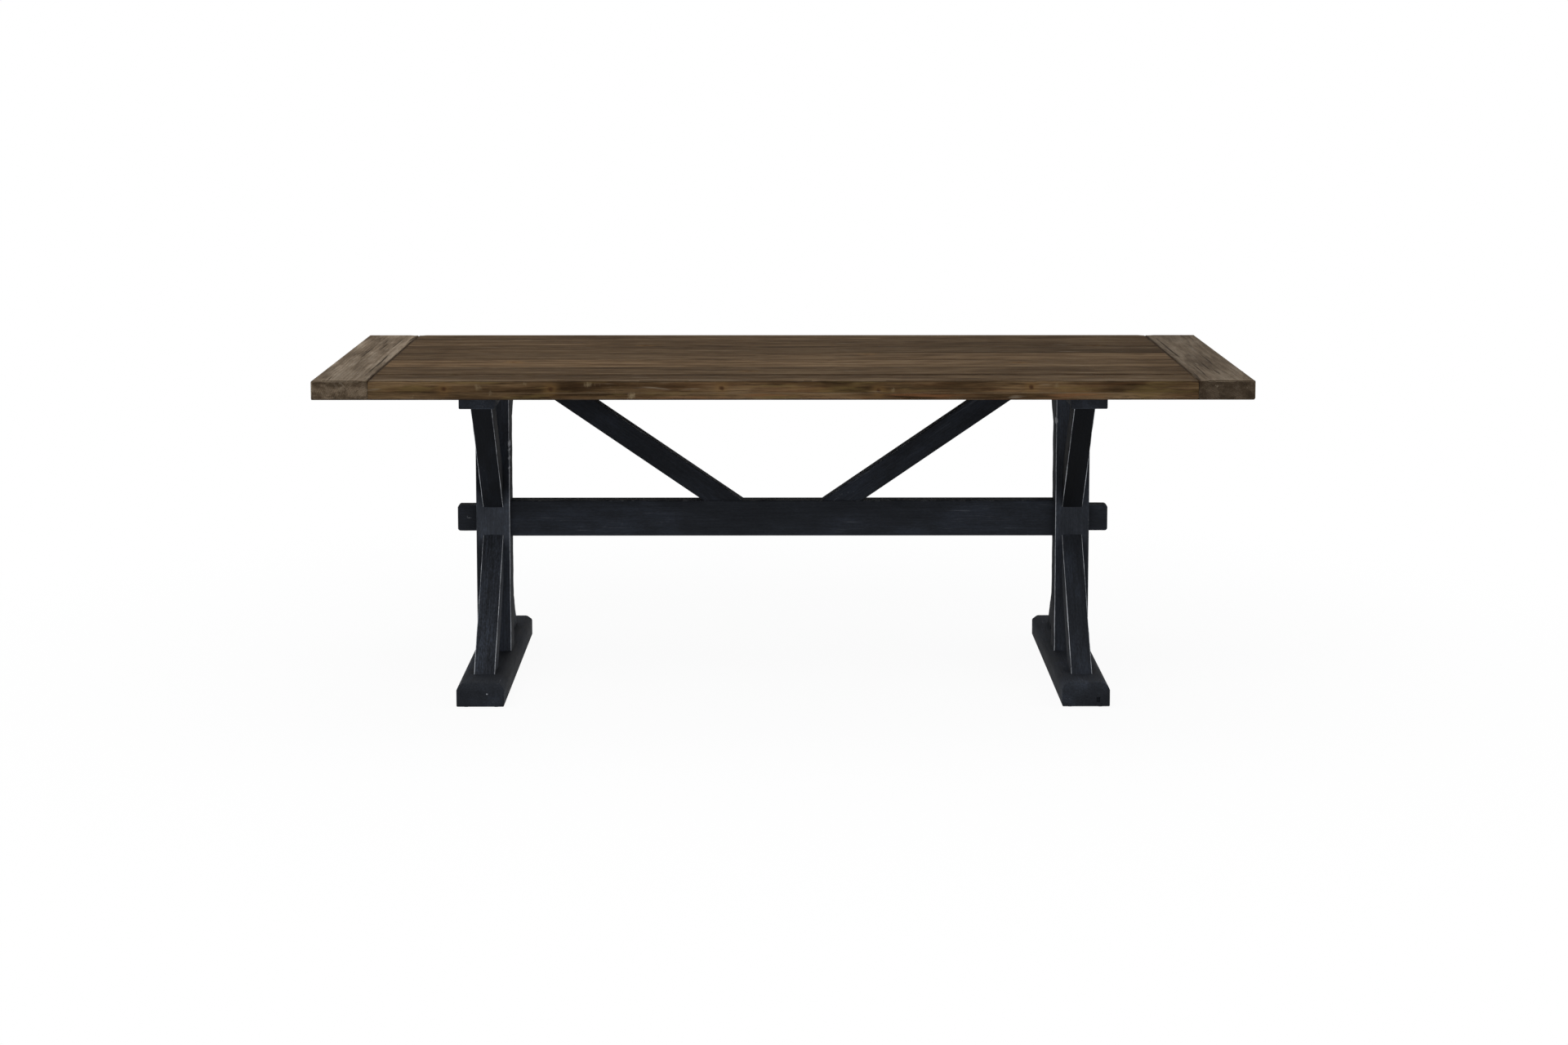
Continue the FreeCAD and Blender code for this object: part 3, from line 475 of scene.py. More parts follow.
def edge_details(tree, colour, spot):
    """Tints, glue line, dark lower arris, fine checks, chips and knots of the long edges."""
    place = parts_of(tree, spot)
    height = place["Z"]
    zones = patches(tree, spot, (5.0, 9.0, 30.0), 4.0, 0.58, 0.32, 0.68)
    colour = shade_by(tree, colour, times_plus(tree, zones, 0.60, 0.72))
    olive = patches(tree, spot, (7.0, 9.0, 45.0), 3.0, 0.6, 0.50, 0.68)
    colour = lay(tree, colour, olive, 0.50, OLIVE)
    lower_strip = within(tree, height, GLUE_LINE - GLUE_BLUR, GLUE_LINE + GLUE_BLUR)
    rosy = patches(tree, spot, (5.0, 9.0, 90.0), 3.0, 0.55, 0.46, 0.62)
    rosy = times(tree, rosy, times_plus(tree, lower_strip, 0.50, 0.18))
    rosy = times(tree, rosy, threshold(tree, place["X"], *ROSY_FROM))
    colour = mix_colour(tree, rosy, colour, ROSY)
    line = work(tree, "ABSOLUTE", work(tree, "SUBTRACT", height, GLUE_LINE))
    broken = patches(tree, spot, (4.0, 9.0, 9.0), 2.0, 0.5, 0.40, 0.62)
    line = times(tree, within(tree, line, *GLUE_SHOWS), broken)
    colour = lay(tree, colour, line, 0.55, GLUE)
    # Darker band along the lower arris of the edge.
    lower_arris_band = times_plus(tree, noise(tree, spot, (10.0, 9.0, 60.0), 3.0, 0.6), LOWER_ARRIS_SWAY, height)
    colour = lay(tree, colour, within(tree, lower_arris_band, *LOWER_ARRIS_LEVELS), 0.75, LOWER_ARRIS_DARK)
    slanted = add_node(tree, "Mapping", {"Vector": spot, "Rotation": (0.0, CHECK_SLANT, 0.0)})
    checks = patches(tree, slanted.outputs[0], (6.0, 20.0, 330.0), 2.0, 0.5, 0.66, 0.72)
    colour = lay(tree, colour, checks, 0.6, CHECK)
    torn = noise(tree, spot, (260.0, 9.0, 90.0), 3.0, 0.65)
    chips = ragged_spots(tree, spot, EDGE_CHIPS, (torn, 3.0), 1.5, 2.7)
    colour = mix_colour(tree, chips, colour, CHIPPED)
    return add_knots(tree, colour, spot, EDGE_KNOTS, EDGE_KNOT_HALVES)


print("edge marks:", len(EDGE_CHIPS), "chips and a glue line at", GLUE_LINE)

# %% [markdown]
# ## The worn top wood
# The top is softwood, stained grey-brown, wire-brushed and knocked about. Its faces are muted,
# because dust-coloured wax lies in the grain, while the long front edge is warmer, with ochre
# patches and small knots, and the cut ends are dull and speckled. One function makes all of them
# from the same groups with different colours, so the boards stay one wood. Each board brings its
# own seed and tone as an attribute, because planks from different trees never match.

# %% Pale lip and painted seam shadow
LIP_START = 0.458
LIP_END = 0.486
LIP_SWAY = 0.05
SEAM_PLACE = 0.939
SEAM_HALF = 0.0015
SEAM_FADE = 0.0032
LIP = (0.200, 0.152, 0.104)
# painted shadow in the open seam by each end board
SEAM_SHADOW = (0.010, 0.007, 0.005)


def pale_lip(tree, colour, spot):
    """Paler band along the front and rear of the top's faces, broken by noise."""
    reach = work(tree, "ABSOLUTE", parts_of(tree, spot)["Y"])
    sway = work(tree, "SUBTRACT", noise(tree, spot, (5.0, 40.0, 40.0), 3.0, 0.6), 0.5)
    lip = threshold(tree, times_plus(tree, sway, LIP_SWAY, reach), LIP_START, LIP_END)
    broken = patches(tree, spot, (3.5, 30.0, 30.0), 3.0, 0.6, 0.36, 0.60)
    return lay(tree, colour, times(tree, lip, broken), 0.42, LIP)


def seam_shadow(tree, colour, spot):
    """Painted shadow in the open seam between planks and end board, and on both its arrises."""
    reach = work(tree, "ABSOLUTE", parts_of(tree, spot)["X"])
    away = work(tree, "ABSOLUTE", work(tree, "SUBTRACT", reach, SEAM_PLACE))
    return lay(tree, colour, within(tree, away, SEAM_HALF, SEAM_FADE), 0.88, SEAM_SHADOW)


print("lip from", LIP_START, "and seam at", SEAM_PLACE)

# %% Top wood
TOP_RUB = {"Reach": 0.0022, "Ragged": 0.004}
TOP_SCUFFS = 0.42
TOP_BUMP = 0.0006
TOP_SHINE = 0.02
PORE = (0.014, 0.009, 0.006)
SPLIT = (0.016, 0.011, 0.007)
RUBBED = (0.030, 0.019, 0.011)
SCRAPED = (0.235, 0.195, 0.145)


def top_wood(name, shades, wash, wash_share, ring_share, spacing, split_share,
             weights=(0.0, 0.72, 0.28), mottle=None, grooves=(7.0, 210.0, 210.0),
             knots=(), edge_face=False, upper_face=False):
    """Worn wood from its dark, middle and light shades, with wax, wear and scrapes."""
    finish, tree = new_finish(name)
    spot = object_point(tree)
    point = attribute(tree, "timber")
    board = board_values(tree)
    seed = board["X"]
    if edge_face:
        upper_strip = work(tree, "GREATER_THAN", parts_of(tree, spot)["Z"], GLUE_LINE)
        seed = work(tree, "ADD", seed, upper_strip)
    figure = use_group(tree, figure_group, Point=point, Seed=seed, Spacing=spacing)
    body = 0.0
    for part, weight in zip(("Zones", "Bands", "Streaks"), weights):
        body = times_plus(tree, threshold(tree, figure[part], 0.34, 0.66), weight, body)
    if mottle:
        share, follows_grain, stretch = mottle
        source = point if follows_grain else spot
        cloud = patches(tree, source, stretch, 4.0, 0.62, 0.36, 0.66)
        body = add_node(tree, "Mix", {0: share, 2: body, 3: cloud}).outputs[0]
    calm = times(tree, work(tree, "SUBTRACT", body, 0.5), board["Z"])
    body = times_plus(tree, calm, 2.0, 0.5)
    colour = ramp(tree, body, {0.10: shades[0], 0.50: shades[1], 0.90: shades[2]})
    colour = shade_by(tree, colour, times_plus(tree, figure["Fibres"], 0.30, 0.85))
    colour = lay(tree, colour, figure["Rings"], ring_share, shades[0])
    colour = lay(tree, colour, figure["Pores"], 0.4, PORE)
    aside = vector_work(tree, "ADD", point, (3.0, 1.0, 2.0))
    haze = patches(tree, aside, (4.0, 60.0, 60.0), 4.0, 0.62, 0.50, 0.72)
    colour = lay(tree, colour, haze, wash_share, wash)
    splits = patches(tree, point, grooves, 3.0, 0.6, 0.60, 0.68)
    colour = lay(tree, colour, splits, split_share, SPLIT)
    if edge_face:
        colour = edge_details(tree, colour, spot)
    if knots:
        colour = add_knots(tree, colour, spot, knots, FACE_KNOT_HALVES)
    colour = shade_by(tree, colour, times(tree, board["Y"], 2.0))
    rub = use_group(tree, rubbed_group, Seed=board["X"], **TOP_RUB)["Mask"]
    colour = lay(tree, colour, rub, 0.6, RUBBED)
    # Upper faces get a paler band at front and rear, and a painted shadow in the end seams.
    if upper_face:
        colour = seam_shadow(tree, pale_lip(tree, colour, spot), spot)
    aside = vector_work(tree, "ADD", point, (5.0, 2.0, 7.0))
    smudge = times(tree, patches(tree, aside, (9.0, 75.0, 75.0), 2.0, 0.5, 0.66, 0.78), 0.40)
    scrape = use_group(tree, scuff_group, Point=point, Seed=board["X"], Amount=TOP_SCUFFS)["Mask"]
    colour = mix_colour(tree, join(tree, "MAXIMUM", smudge, scrape), colour, SCRAPED)
    height = times_plus(tree, figure["Streaks"], 0.8, times(tree, figure["Rings"], -0.5))
    height = times_plus(tree, figure["Fibres"], 0.3, height)
    height = times_plus(tree, figure["Pores"], -0.6, height)
    gloss = times_plus(tree, figure["Streaks"], 0.25, 0.72)
    close_finish(tree, colour, gloss, height, TOP_BUMP, TOP_SHINE)
    return finish


print("top wood ready")

# %% Top wood finishes
board_face = top_wood(
    "board_face", ((0.034, 0.020, 0.0095), (0.092, 0.058, 0.031), (0.160, 0.109, 0.063)),
    wash=(0.155, 0.109, 0.065), wash_share=0.30, ring_share=0.36, spacing=0.0065,
    split_share=0.25, weights=(0.46, 0.34, 0.20), mottle=(0.40, True, (8.0, 60.0, 60.0)),
    knots=FACE_KNOTS, upper_face=True)
cross_face = top_wood(
    "cross_face", ((0.044, 0.031, 0.020), (0.122, 0.093, 0.065), (0.210, 0.169, 0.125)),
    wash=(0.195, 0.166, 0.130), wash_share=0.40, ring_share=0.45, spacing=0.0070,
    split_share=0.85, mottle=(0.35, True, (5.0, 34.0, 34.0)), grooves=(2.0, 95.0, 95.0),
    upper_face=True)
board_edge = top_wood(
    "board_edge", ((0.027, 0.015, 0.0068), (0.076, 0.045, 0.0215), (0.136, 0.088, 0.046)),
    wash=(0.115, 0.080, 0.044), wash_share=0.25, ring_share=0.25, spacing=0.0048,
    split_share=0.35, edge_face=True)
board_end = top_wood(
    "board_end", ((0.025, 0.018, 0.011), (0.067, 0.048, 0.031), (0.128, 0.096, 0.066)),
    wash=(0.150, 0.116, 0.086), wash_share=0.30, ring_share=0.30, spacing=0.0045,
    split_share=0.25, mottle=(0.70, False, (24.0, 30.0, 42.0)))
print("top finishes:", board_face.name, cross_face.name, board_edge.name, board_end.name)

# %% [markdown]
# ## The black paint
# The trestles are brushed with a thin blue-black paint that lets the grain show, then rubbed back
# at the arrises until pale primer comes through. The paint itself varies: brush marks run along
# each timber, and soft clouds of lighter blue lie where it was rubbed. A flat black would look
# like plastic, so the colour, the gloss and the bump all follow the same brush marks. A few
# flakes of paint that were knocked off are listed by place, like the knots of the top.

# %% Black paint
PAINT_NICKS = (((-0.6605, -0.030, 0.567), (0.004, 0.024, 0.0075), 0.60),
               ((-0.6605, -0.032, 0.552), (0.004, 0.020, 0.0030), 0.45),
               ((-0.6605, -0.034, 0.532), (0.004, 0.016, 0.0045), 0.40),
               ((-0.6605, -0.034, 0.508), (0.004, 0.014, 0.0030), 0.35),
               ((0.6605, -0.030, 0.622), (0.004, 0.024, 0.0080), 0.50),
               ((-0.7615, -0.019, 0.3825), (0.0050, 0.003, 0.0014), 0.16),
               ((-0.7660, -0.019, 0.3845), (0.0012, 0.003, 0.0030), 0.10),
               ((-0.6850, -0.415, 0.0350), (0.0018, 0.003, 0.0017), 0.40))
PAINT = {0.12: (0.0055, 0.0060, 0.0070), 0.50: (0.0150, 0.0168, 0.0205),
         0.88: (0.0300, 0.0360, 0.0490)}
DENT = (0.0050, 0.0054, 0.0062)
PRIMER = (0.54, 0.56, 0.60)
PAINT_RUB = {"Reach": 0.0014, "Ragged": 0.0020}
PAINT_SCUFFS = 0.10
PAINT_BUMP = 0.0003
PAINT_SHINE = 0.05

black_paint, tree = new_finish("rubbed_black")
point = attribute(tree, "timber")
spot = object_point(tree)
board = board_values(tree)
figure = use_group(tree, figure_group, Point=point, Seed=board["X"], Spacing=0.0065)
shifted = vector_work(tree, "ADD", point, spread(tree, board["X"]))
brush = patches(tree, shifted, (9.0, 300.0, 300.0), 4.0, 0.65, 0.30, 0.70)
cloud = patches(tree, shifted, (5.0, 14.0, 14.0), 4.0, 0.6, 0.32, 0.68)
weave = patches(tree, shifted, (110.0, 330.0, 330.0), 3.0, 0.65, 0.34, 0.66)
streaky = times_plus(tree, weave, 0.5, times(tree, brush, 0.5))
streaky = times(tree, work(tree, "SUBTRACT", streaky, 0.5), board["Z"])
body = work(tree, "ADD", streaky, times_plus(tree, cloud, 0.24, 0.38))
colour = shade_by(tree, ramp(tree, body, PAINT), times(tree, board["Y"], 2.0))
colour = lay(tree, colour, figure["Rings"], 0.10, DENT)
rub = use_group(tree, rubbed_group, Seed=board["X"], **PAINT_RUB)["Mask"]
scrape = use_group(tree, scuff_group, Point=point, Seed=board["X"], Amount=PAINT_SCUFFS)["Mask"]
torn = noise(tree, spot, (420.0, 420.0, 420.0), 2.0, 0.6)
nicks = ragged_spots(tree, spot, PAINT_NICKS, (torn, 1.6), 1.5, 2.0)
worn = join(tree, "MAXIMUM", rub, scrape, nicks)
colour = mix_colour(tree, worn, colour, PRIMER)
gloss = times_plus(tree, worn, 0.1, times_plus(tree, cloud, 0.12, 0.74))
height = times_plus(tree, brush, 0.4, times(tree, figure["Rings"], -0.4))
height = times_plus(tree, rub, -0.8, height)
close_finish(tree, colour, gloss, height, PAINT_BUMP, PAINT_SHINE)
print("paint:", black_paint.name)

# %% [markdown]
# ## The hidden parts' finishes
# Below the top are parts that only show from underneath or when an end is pulled out: brown
# battens and blocks, pale waxed runners, beech dowels, zinc-plated screws and black glides. Their
# solids are already the right shape, so they only need a finish. A solid carries no attributes
# of its own, so these finishes read Object coordinates, turned so that X runs along the grain.

# %% Finishes of the hidden parts
BROWN = {0.32: (0.050, 0.030, 0.016), 0.5: (0.105, 0.066, 0.036), 0.68: (0.165, 0.112, 0.064)}
PALE = {0.32: (0.22, 0.125, 0.055), 0.5: (0.36, 0.23, 0.115), 0.68: (0.47, 0.32, 0.175)}
ZINC = {0.3: (0.34, 0.34, 0.33), 0.7: (0.62, 0.61, 0.56)}
NYLON = {0.35: (0.010, 0.010, 0.011), 0.75: (0.030, 0.029, 0.028)}
BARE_PORE = (0.03, 0.017, 0.008)


def bare_wood(name, stops, turn, roughness, seed, spacing=0.005):
    """Unworn wood for a solid, whose grain is turned away from X by an angle."""
    finish, tree = new_finish(name)
    turned = add_node(tree, "Mapping", {"Vector": object_point(tree),
                                        "Rotation": (0.0, 0.0, turn)}).outputs[0]
    figure = use_group(tree, figure_group, Point=turned, Seed=seed, Spacing=spacing)
    body = times_plus(tree, figure["Streaks"], 0.6, times(tree, figure["Bands"], 0.4))
    colour = ramp(tree, body, stops)
    colour = shade_by(tree, colour, times_plus(tree, figure["Fibres"], 0.24, 0.88))
    colour = lay(tree, colour, figure["Rings"], 0.35, stops[min(stops)])
    colour = lay(tree, colour, figure["Pores"], 0.35, BARE_PORE)
    height = times_plus(tree, figure["Streaks"], 0.7, times(tree, figure["Rings"], -0.4))
    gloss = times_plus(tree, figure["Streaks"], 0.3, roughness)
    close_finish(tree, colour, gloss, height, depth=0.0004, specular=0.3)
    return finish


batten_wood = bare_wood("batten_wood", BROWN, -QUARTER, 0.5, 2.7)
block_wood = bare_wood("block_wood", BROWN, 0.0, 0.5, 4.1)
runner_wood = bare_wood("waxed_runner", PALE, 0.0, 0.33, 6.3, 0.0035)
dowel_wood = bare_wood("beech_dowel", PALE, 0.0, 0.45, 8.9, 0.0028)

screw_steel, tree = new_finish("zinc_screw")
turning = noise(tree, object_point(tree), (900.0, 900.0, 200.0), 3.0, 0.6)
close_finish(tree, ramp(tree, turning, ZINC), times_plus(tree, turning, 0.3, 0.2), turning,
             depth=0.0002, specular=0.5, strength=0.5, metallic=1.0)

glide_plastic, tree = new_finish("black_glide")
spot = object_point(tree)
grain = noise(tree, spot, (1400.0, 1400.0, 1400.0), 2.0, 0.6)
dust = noise(tree, spot, (60.0, 60.0, 60.0), 3.0, 0.6)
close_finish(tree, ramp(tree, dust, NYLON), times_plus(tree, dust, 0.3, 0.35), grain,
             depth=0.0001, specular=0.4)
print("hidden finishes:", batten_wood.name, runner_wood.name, dowel_wood.name, screw_steel.name)

# %% [markdown]
# ## Modelling tools
# All the timbers start as blocks and are worked like real ones: sawn to length, cut, planed and
# eased. The helpers below open a mesh for editing, pick edges or faces by where they are and which
# way they run, and divide a long block into even cells. The cells don't change its shape yet, but
# they give the arrises enough points to be worn unevenly later.

# %% Modelling helpers
AXES = {"X": Vector((1, 0, 0)), "Y": Vector((0, 1, 0)), "Z": Vector((0, 0, 1))}
PARALLEL = 0.999


def only(piece):
    """Make one piece the active object and the only selected one."""
    bpy.ops.object.select_all(action="DESELECT")
    piece.select_set(True)
    bpy.context.view_layer.objects.active = piece


def open_mesh(piece):
    only(piece)
    bpy.ops.object.mode_set(mode="EDIT")


def close_mesh():
    bpy.ops.object.mode_set(mode="OBJECT")


def settle():
    """Move the active piece's place, turn and scale into its mesh."""
    bpy.ops.object.transform_apply(location=True, rotation=True, scale=True)


def along(way, axis):
    return abs(way.dot(AXES[axis])) > PARALLEL


def run_of(edge):
    return edge.verts[1].co - edge.verts[0].co


def pick(kind, test):
    """Select only the faces or edges of the open mesh whose middle and direction pass a test."""
    bpy.ops.mesh.select_mode(type=kind)
    bpy.ops.mesh.select_all(action="DESELECT")
    mesh = bpy.context.object.data
    model = bmesh.from_edit_mesh(mesh)
    for item in (model.faces if kind == "FACE" else model.edges):
        if kind == "FACE":
            middle, way = item.calc_center_median(), item.normal
        else:
            middle, way = (item.verts[0].co + item.verts[1].co) / 2, run_of(item).normalized()
        item.select_set(bool(test(middle, way)))
    model.select_flush_mode()
    bmesh.update_edit_mesh(mesh)


def divide(**cells):
    """Cut the open mesh's long edges along each named axis into cells, as loop cuts would."""
    mesh = bpy.context.object.data
    for axis, cell in cells.items():
        bpy.ops.mesh.select_mode(type="EDGE")
        bpy.ops.mesh.select_all(action="DESELECT")
        lengths = {edge: edge.calc_length() for edge in bmesh.from_edit_mesh(mesh).edges
                   if along(run_of(edge).normalized(), axis)}
        longest = max(lengths.values())
        for edge, length in lengths.items():
            edge.select_set(length > longest / 2)
        bmesh.update_edit_mesh(mesh)
        bpy.ops.mesh.subdivide(number_cuts=max(1, round(longest / cell) - 1))


def extrude(*step):
    """Extrude the open mesh's selection by a step."""
    bpy.ops.mesh.extrude_region_move(TRANSFORM_OT_translate={"value": step})


def ease(test, size, segments=3):
    """Round the open mesh's picked edges."""
    pick("EDGE", test)
    bpy.ops.mesh.bevel(offset=size, segments=segments, affect="EDGES")


print("helpers for picking, dividing and easing ready")

# %% Blocks, copies and cuts
HOLE_SIDES = 24


def add_block(name, low, high):
    """Cube stretched to fill a box, with its place in its mesh."""
    low, high = Vector(low), Vector(high)
    bpy.ops.object.select_all(action="DESELECT")
    bpy.ops.mesh.primitive_cube_add(size=1, location=(low + high) / 2, scale=high - low)
    piece = bpy.context.object
    piece.name = piece.data.name = name
    settle()
    return piece


def copy_of(piece, name, half_turn=False, move=(0, 0, 0)):
    """Copy with its own mesh, turned half round the table's middle if asked, then moved."""
    only(piece)
    bpy.ops.object.duplicate(linked=False)
    made = bpy.context.object
    made.name = made.data.name = name
    made.rotation_euler = (0, 0, math.pi if half_turn else 0)
    made.location = move
    settle()
    return made


def subtract(piece, cutter):
    """Take a cutter's shape out of a piece with a Boolean modifier, then drop the cutter."""
    trim = piece.modifiers.new("cut", "BOOLEAN")
    trim.operation = "DIFFERENCE"
    trim.solver = "EXACT"
    trim.object = cutter
    bpy.context.view_layer.objects.active = piece
    bpy.ops.object.modifier_apply(modifier=trim.name)
    bpy.data.objects.remove(cutter)


def cut_away(piece, low, high):
    """Saw a box-shaped pocket out of a piece."""
    subtract(piece, add_block("saw", low, high))


def bore(piece, mouth, radius, depth, turn=(0, 0, 0)):
    """Bore a round hole of a depth, with a bit that is centred on the hole's mouth."""
    bpy.ops.object.select_all(action="DESELECT")
    bpy.ops.mesh.primitive_cylinder_add(vertices=HOLE_SIDES, radius=radius, depth=2 * depth,
                                        location=mouth, rotation=turn)
    subtract(piece, bpy.context.object)


print("helpers for blocks, copies and cuts ready")

# %% [markdown]
# ## Grain direction and arris distance
# The finishes need two facts that a mesh doesn't hold by itself. The first is where each point
# lies in its own timber, with X along the grain, so that a slanted brace gets slanted grain. The
# second is how far each point lies from the arrises that wear. Both are written as attributes.
# Some arrises are rubbed harder than others, so each one has a shyness: a length that is added to
# the distance, and keeps the wear off it.

# %% Timber attributes
FAR_FROM_ARRIS = 0.05


def write_attribute(piece, name, kind, values):
    layer = piece.data.attributes.get(name) or piece.data.attributes.new(name, kind, "POINT")
    field = "vector" if kind == "FLOAT_VECTOR" else "value"
    layer.data.foreach_set(field, np.asarray(values, np.float32).ravel())


def points_of(piece):
    points = np.empty(len(piece.data.vertices) * 3, np.float32)
    piece.data.vertices.foreach_get("co", points)
    return points.reshape(-1, 3).astype(float)


def lay_grain(piece, middle, grain, face):
    """Write each point's place in its timber: X along the grain, Z towards the face."""
    x_way = Vector(grain).normalized()
    z_way = (Vector(face) - x_way * x_way.dot(Vector(face))).normalized()
    turn = np.array([x_way, z_way.cross(x_way), z_way])
    places = (points_of(piece) - np.array(middle)) @ turn.T
    write_attribute(piece, "timber", "FLOAT_VECTOR", places)


def measure_arrises(piece, arrises):
    """Write each point's distance from the nearest worn arris, given as start, end and shyness."""
    points = points_of(piece)
    nearest = np.full(len(points), FAR_FROM_ARRIS)
    for start, end, shyness in arrises:
        start, run = np.array(start), np.array(end) - np.array(start)
        share = np.clip((points - start) @ run / (run @ run), 0, 1)
        away = np.linalg.norm(points - start - share[:, None] * run, axis=1)
        nearest = np.minimum(nearest, away + shyness)
    write_attribute(piece, "arris", "FLOAT", nearest)


def box_arrises(low, high, shyness):
    """The twelve arrises of a box. shyness gives each one's from its middle and axis, or None."""
    low, high = np.array(low), np.array(high)
    found = []
    for axis in range(3):
        others = [side for side in range(3) if side != axis]
        for first in (low, high):
            for second in (low, high):
                start = low.copy()
                start[others[0]], start[others[1]] = first[others[0]], second[others[1]]
                end = start.copy()
                end[axis] = high[axis]
                shy = shyness((start + end) / 2, "XYZ"[axis])
                if shy is not None:
                    found.append((start, end, shy))
    return found


print("attributes: timber, arris")

# %% Wear
wear_noise = bpy.data.textures.new("arris_wear", "CLOUDS")
wear_noise.noise_scale = 0.035
wear_noise.noise_depth = 3
wear_noise.contrast = 1.6
wear_noise.use_clamp = True


def wear_down(piece, depth, reach):
    """Press the points near an arris inwards by uneven amounts, with a Displace modifier."""
    near = np.empty(len(piece.data.vertices), np.float32)
    piece.data.attributes["arris"].data.foreach_get("value", near)
    worn = piece.vertex_groups.new(name="pressed")
    worn.add([int(n) for n in np.nonzero(near < reach)[0]], 1.0, "REPLACE")
    press = piece.modifiers.new("wear", "DISPLACE")
    press.texture = wear_noise
    press.texture_coords = "LOCAL"
    press.vertex_group = worn.name
    press.mid_level = 0.0
    press.strength = -depth
    bpy.context.view_layer.objects.active = piece
    bpy.ops.object.modifier_apply(modifier=press.name)
    piece.vertex_groups.clear()


print("wear follows", wear_noise.name)

# %% Tones and dressing
SMOOTH_BELOW = math.radians(38)
FACING = 0.8


def tone_along(piece, axis, places, tones):
    """Tone of every point of a piece, from the tones listed for a few places along one axis."""
    return np.interp(points_of(piece)[:, "XYZ".index(axis)], places, tones)


def finish_by_face(piece, facing, other):
    """Give the faces that look along a named axis their own finish, and the rest the other one."""
    for finish in (*facing.values(), other):
        piece.data.materials.append(finish)
    for face in piece.data.polygons:
        looks = [abs(face.normal.dot(AXES[axis])) > FACING for axis in facing]
        face.material_index = looks.index(True) if any(looks) else len(looks)


def dress(piece, finish, body, node, seed, tone=0.5, contrast=0.5):
    """Give a finished piece its finish, smooth shading, board values and body, and hide its solid.
    """
    values = np.tile((seed, 0.0, contrast), (len(piece.data.vertices), 1))
    values[:, 1] = tone
    write_attribute(piece, "board", "FLOAT_VECTOR", values)
    if not piece.data.materials:
        piece.data.materials.append(finish)
    only(piece)
    bpy.ops.object.shade_smooth_by_angle(angle=SMOOTH_BELOW)
    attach(piece, body)
    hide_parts(node)


def paint(piece, node, seed, tone, contrast):
    """Dress a timber of the trestles in black paint."""
    dress(piece, black_paint, "table", node, seed, tone, contrast)


print("attribute: board")

# %% [markdown]
# ## The long boards of the top
# The field of the top is five planks between two thicker edge boards, tongued and grooved so that
# they can swell without opening gaps. Sawmills cut such a profile in one pass, and so does this
# step: a flat face is cut to the board's section, with its tongue and groove, and extruded to the
# board's length. A groove pressed into a finished block would leave its ends closed, and the ends
# show when the table is pulled open. The upper arrises get a small ease, which draws the board
# lines on the top, and the outer ones a larger round.

# %% Cuts and the glue line
HAIR = 0.0002
GLUE_WIDTH = 0.0012
GLUE_DEPTH = 0.0005


def slice_at(place, way, whole=True):
    """Cut the open mesh, or only its selected faces, along a plane."""
    if whole:
        bpy.ops.mesh.select_all(action="SELECT")
    bpy.ops.mesh.bisect(plane_co=place, plane_no=way)


def draw_glue_line(side):
    """Cut a fine V along the outer face where the plank and the strip glued under it meet."""
    def on_line(middle, way):
        return (along(way, "X") and abs(middle.y - side) < HAIR
                and abs(middle.z - GLUE_LINE) < HAIR)
    slice_at((0, 0, GLUE_LINE), (0, 0, 1))
    ease(on_line, GLUE_WIDTH / 2, 2)
    pick("EDGE", on_line)
    bpy.ops.transform.translate(value=(0, math.copysign(GLUE_DEPTH, -side), 0))


print("glue line:", GLUE_WIDTH, "wide and", GLUE_DEPTH, "deep")

# %% One long board
TONGUE = 0.009
TONGUE_HALF = 0.0035
TONGUE_LEVEL = 0.763
LINE_EASE = 0.0008
OUTER_EASE = 0.003
AFTER_EASE = 0.0015
CELL = 0.014
WIDE_CELL = 0.02


def long_board(name, low, high, tongue, groove, outer=None):
    """Board along X: section face with tongue and groove, extruded, eased and divided."""
    middle = (low + high) / 2

    def is_line(place, way):
        on_side = min(abs(place.y - low.y), abs(place.y - high.y)) < HAIR and place.y != outer
        return place.z > high.z - HAIR and (along(way, "X") and on_side or along(way, "Y"))

    def is_outer(place, way):
        level = min(abs(place.z - low.z), abs(place.z - high.z))
        return along(way, "X") and max(abs(place.y - outer), level) < AFTER_EASE

    bpy.ops.object.select_all(action="DESELECT")
    bpy.ops.mesh.primitive_plane_add(size=1, location=(low.x, middle.y, middle.z),
                                     rotation=(0, -QUARTER, 0))
    board = bpy.context.object
    board.name = board.data.name = name
    board.scale = (high.z - low.z, high.y - low.y, 1)
    settle()
    open_mesh(board)
    for level in (TONGUE_LEVEL - TONGUE_HALF, TONGUE_LEVEL + TONGUE_HALF):
        slice_at((low.x, 0, level), (0, 0, 1))
    if tongue:
        pick("EDGE", lambda m, w: max(abs(m.y - high.y), abs(m.z - TONGUE_LEVEL)) < HAIR)
        extrude(0, TONGUE, 0)
    if groove:
        pick("FACE", lambda m, w: abs(m.z - TONGUE_LEVEL) < HAIR)
        slice_at((low.x, low.y + TONGUE + HAIR, 0), (0, 1, 0), whole=False)
        pick("FACE", lambda m, w: m.y < low.y + TONGUE and abs(m.z - TONGUE_LEVEL) < HAIR)
        bpy.ops.mesh.delete(type="FACE")
    bpy.ops.mesh.select_all(action="SELECT")
    extrude(high.x - low.x, 0, 0)
    bpy.ops.mesh.select_all(action="SELECT")
    bpy.ops.mesh.normals_make_consistent(inside=False)
    ease(is_line, LINE_EASE, 2)
    if outer is not None:
        ease(is_outer, OUTER_EASE, 4)
        draw_glue_line(outer)
    divide(X=CELL, Y=WIDE_CELL)
    close_mesh()
    return board


print("tongues reach", TONGUE)

# %% Long boards
PLANKS = range(1, 6)

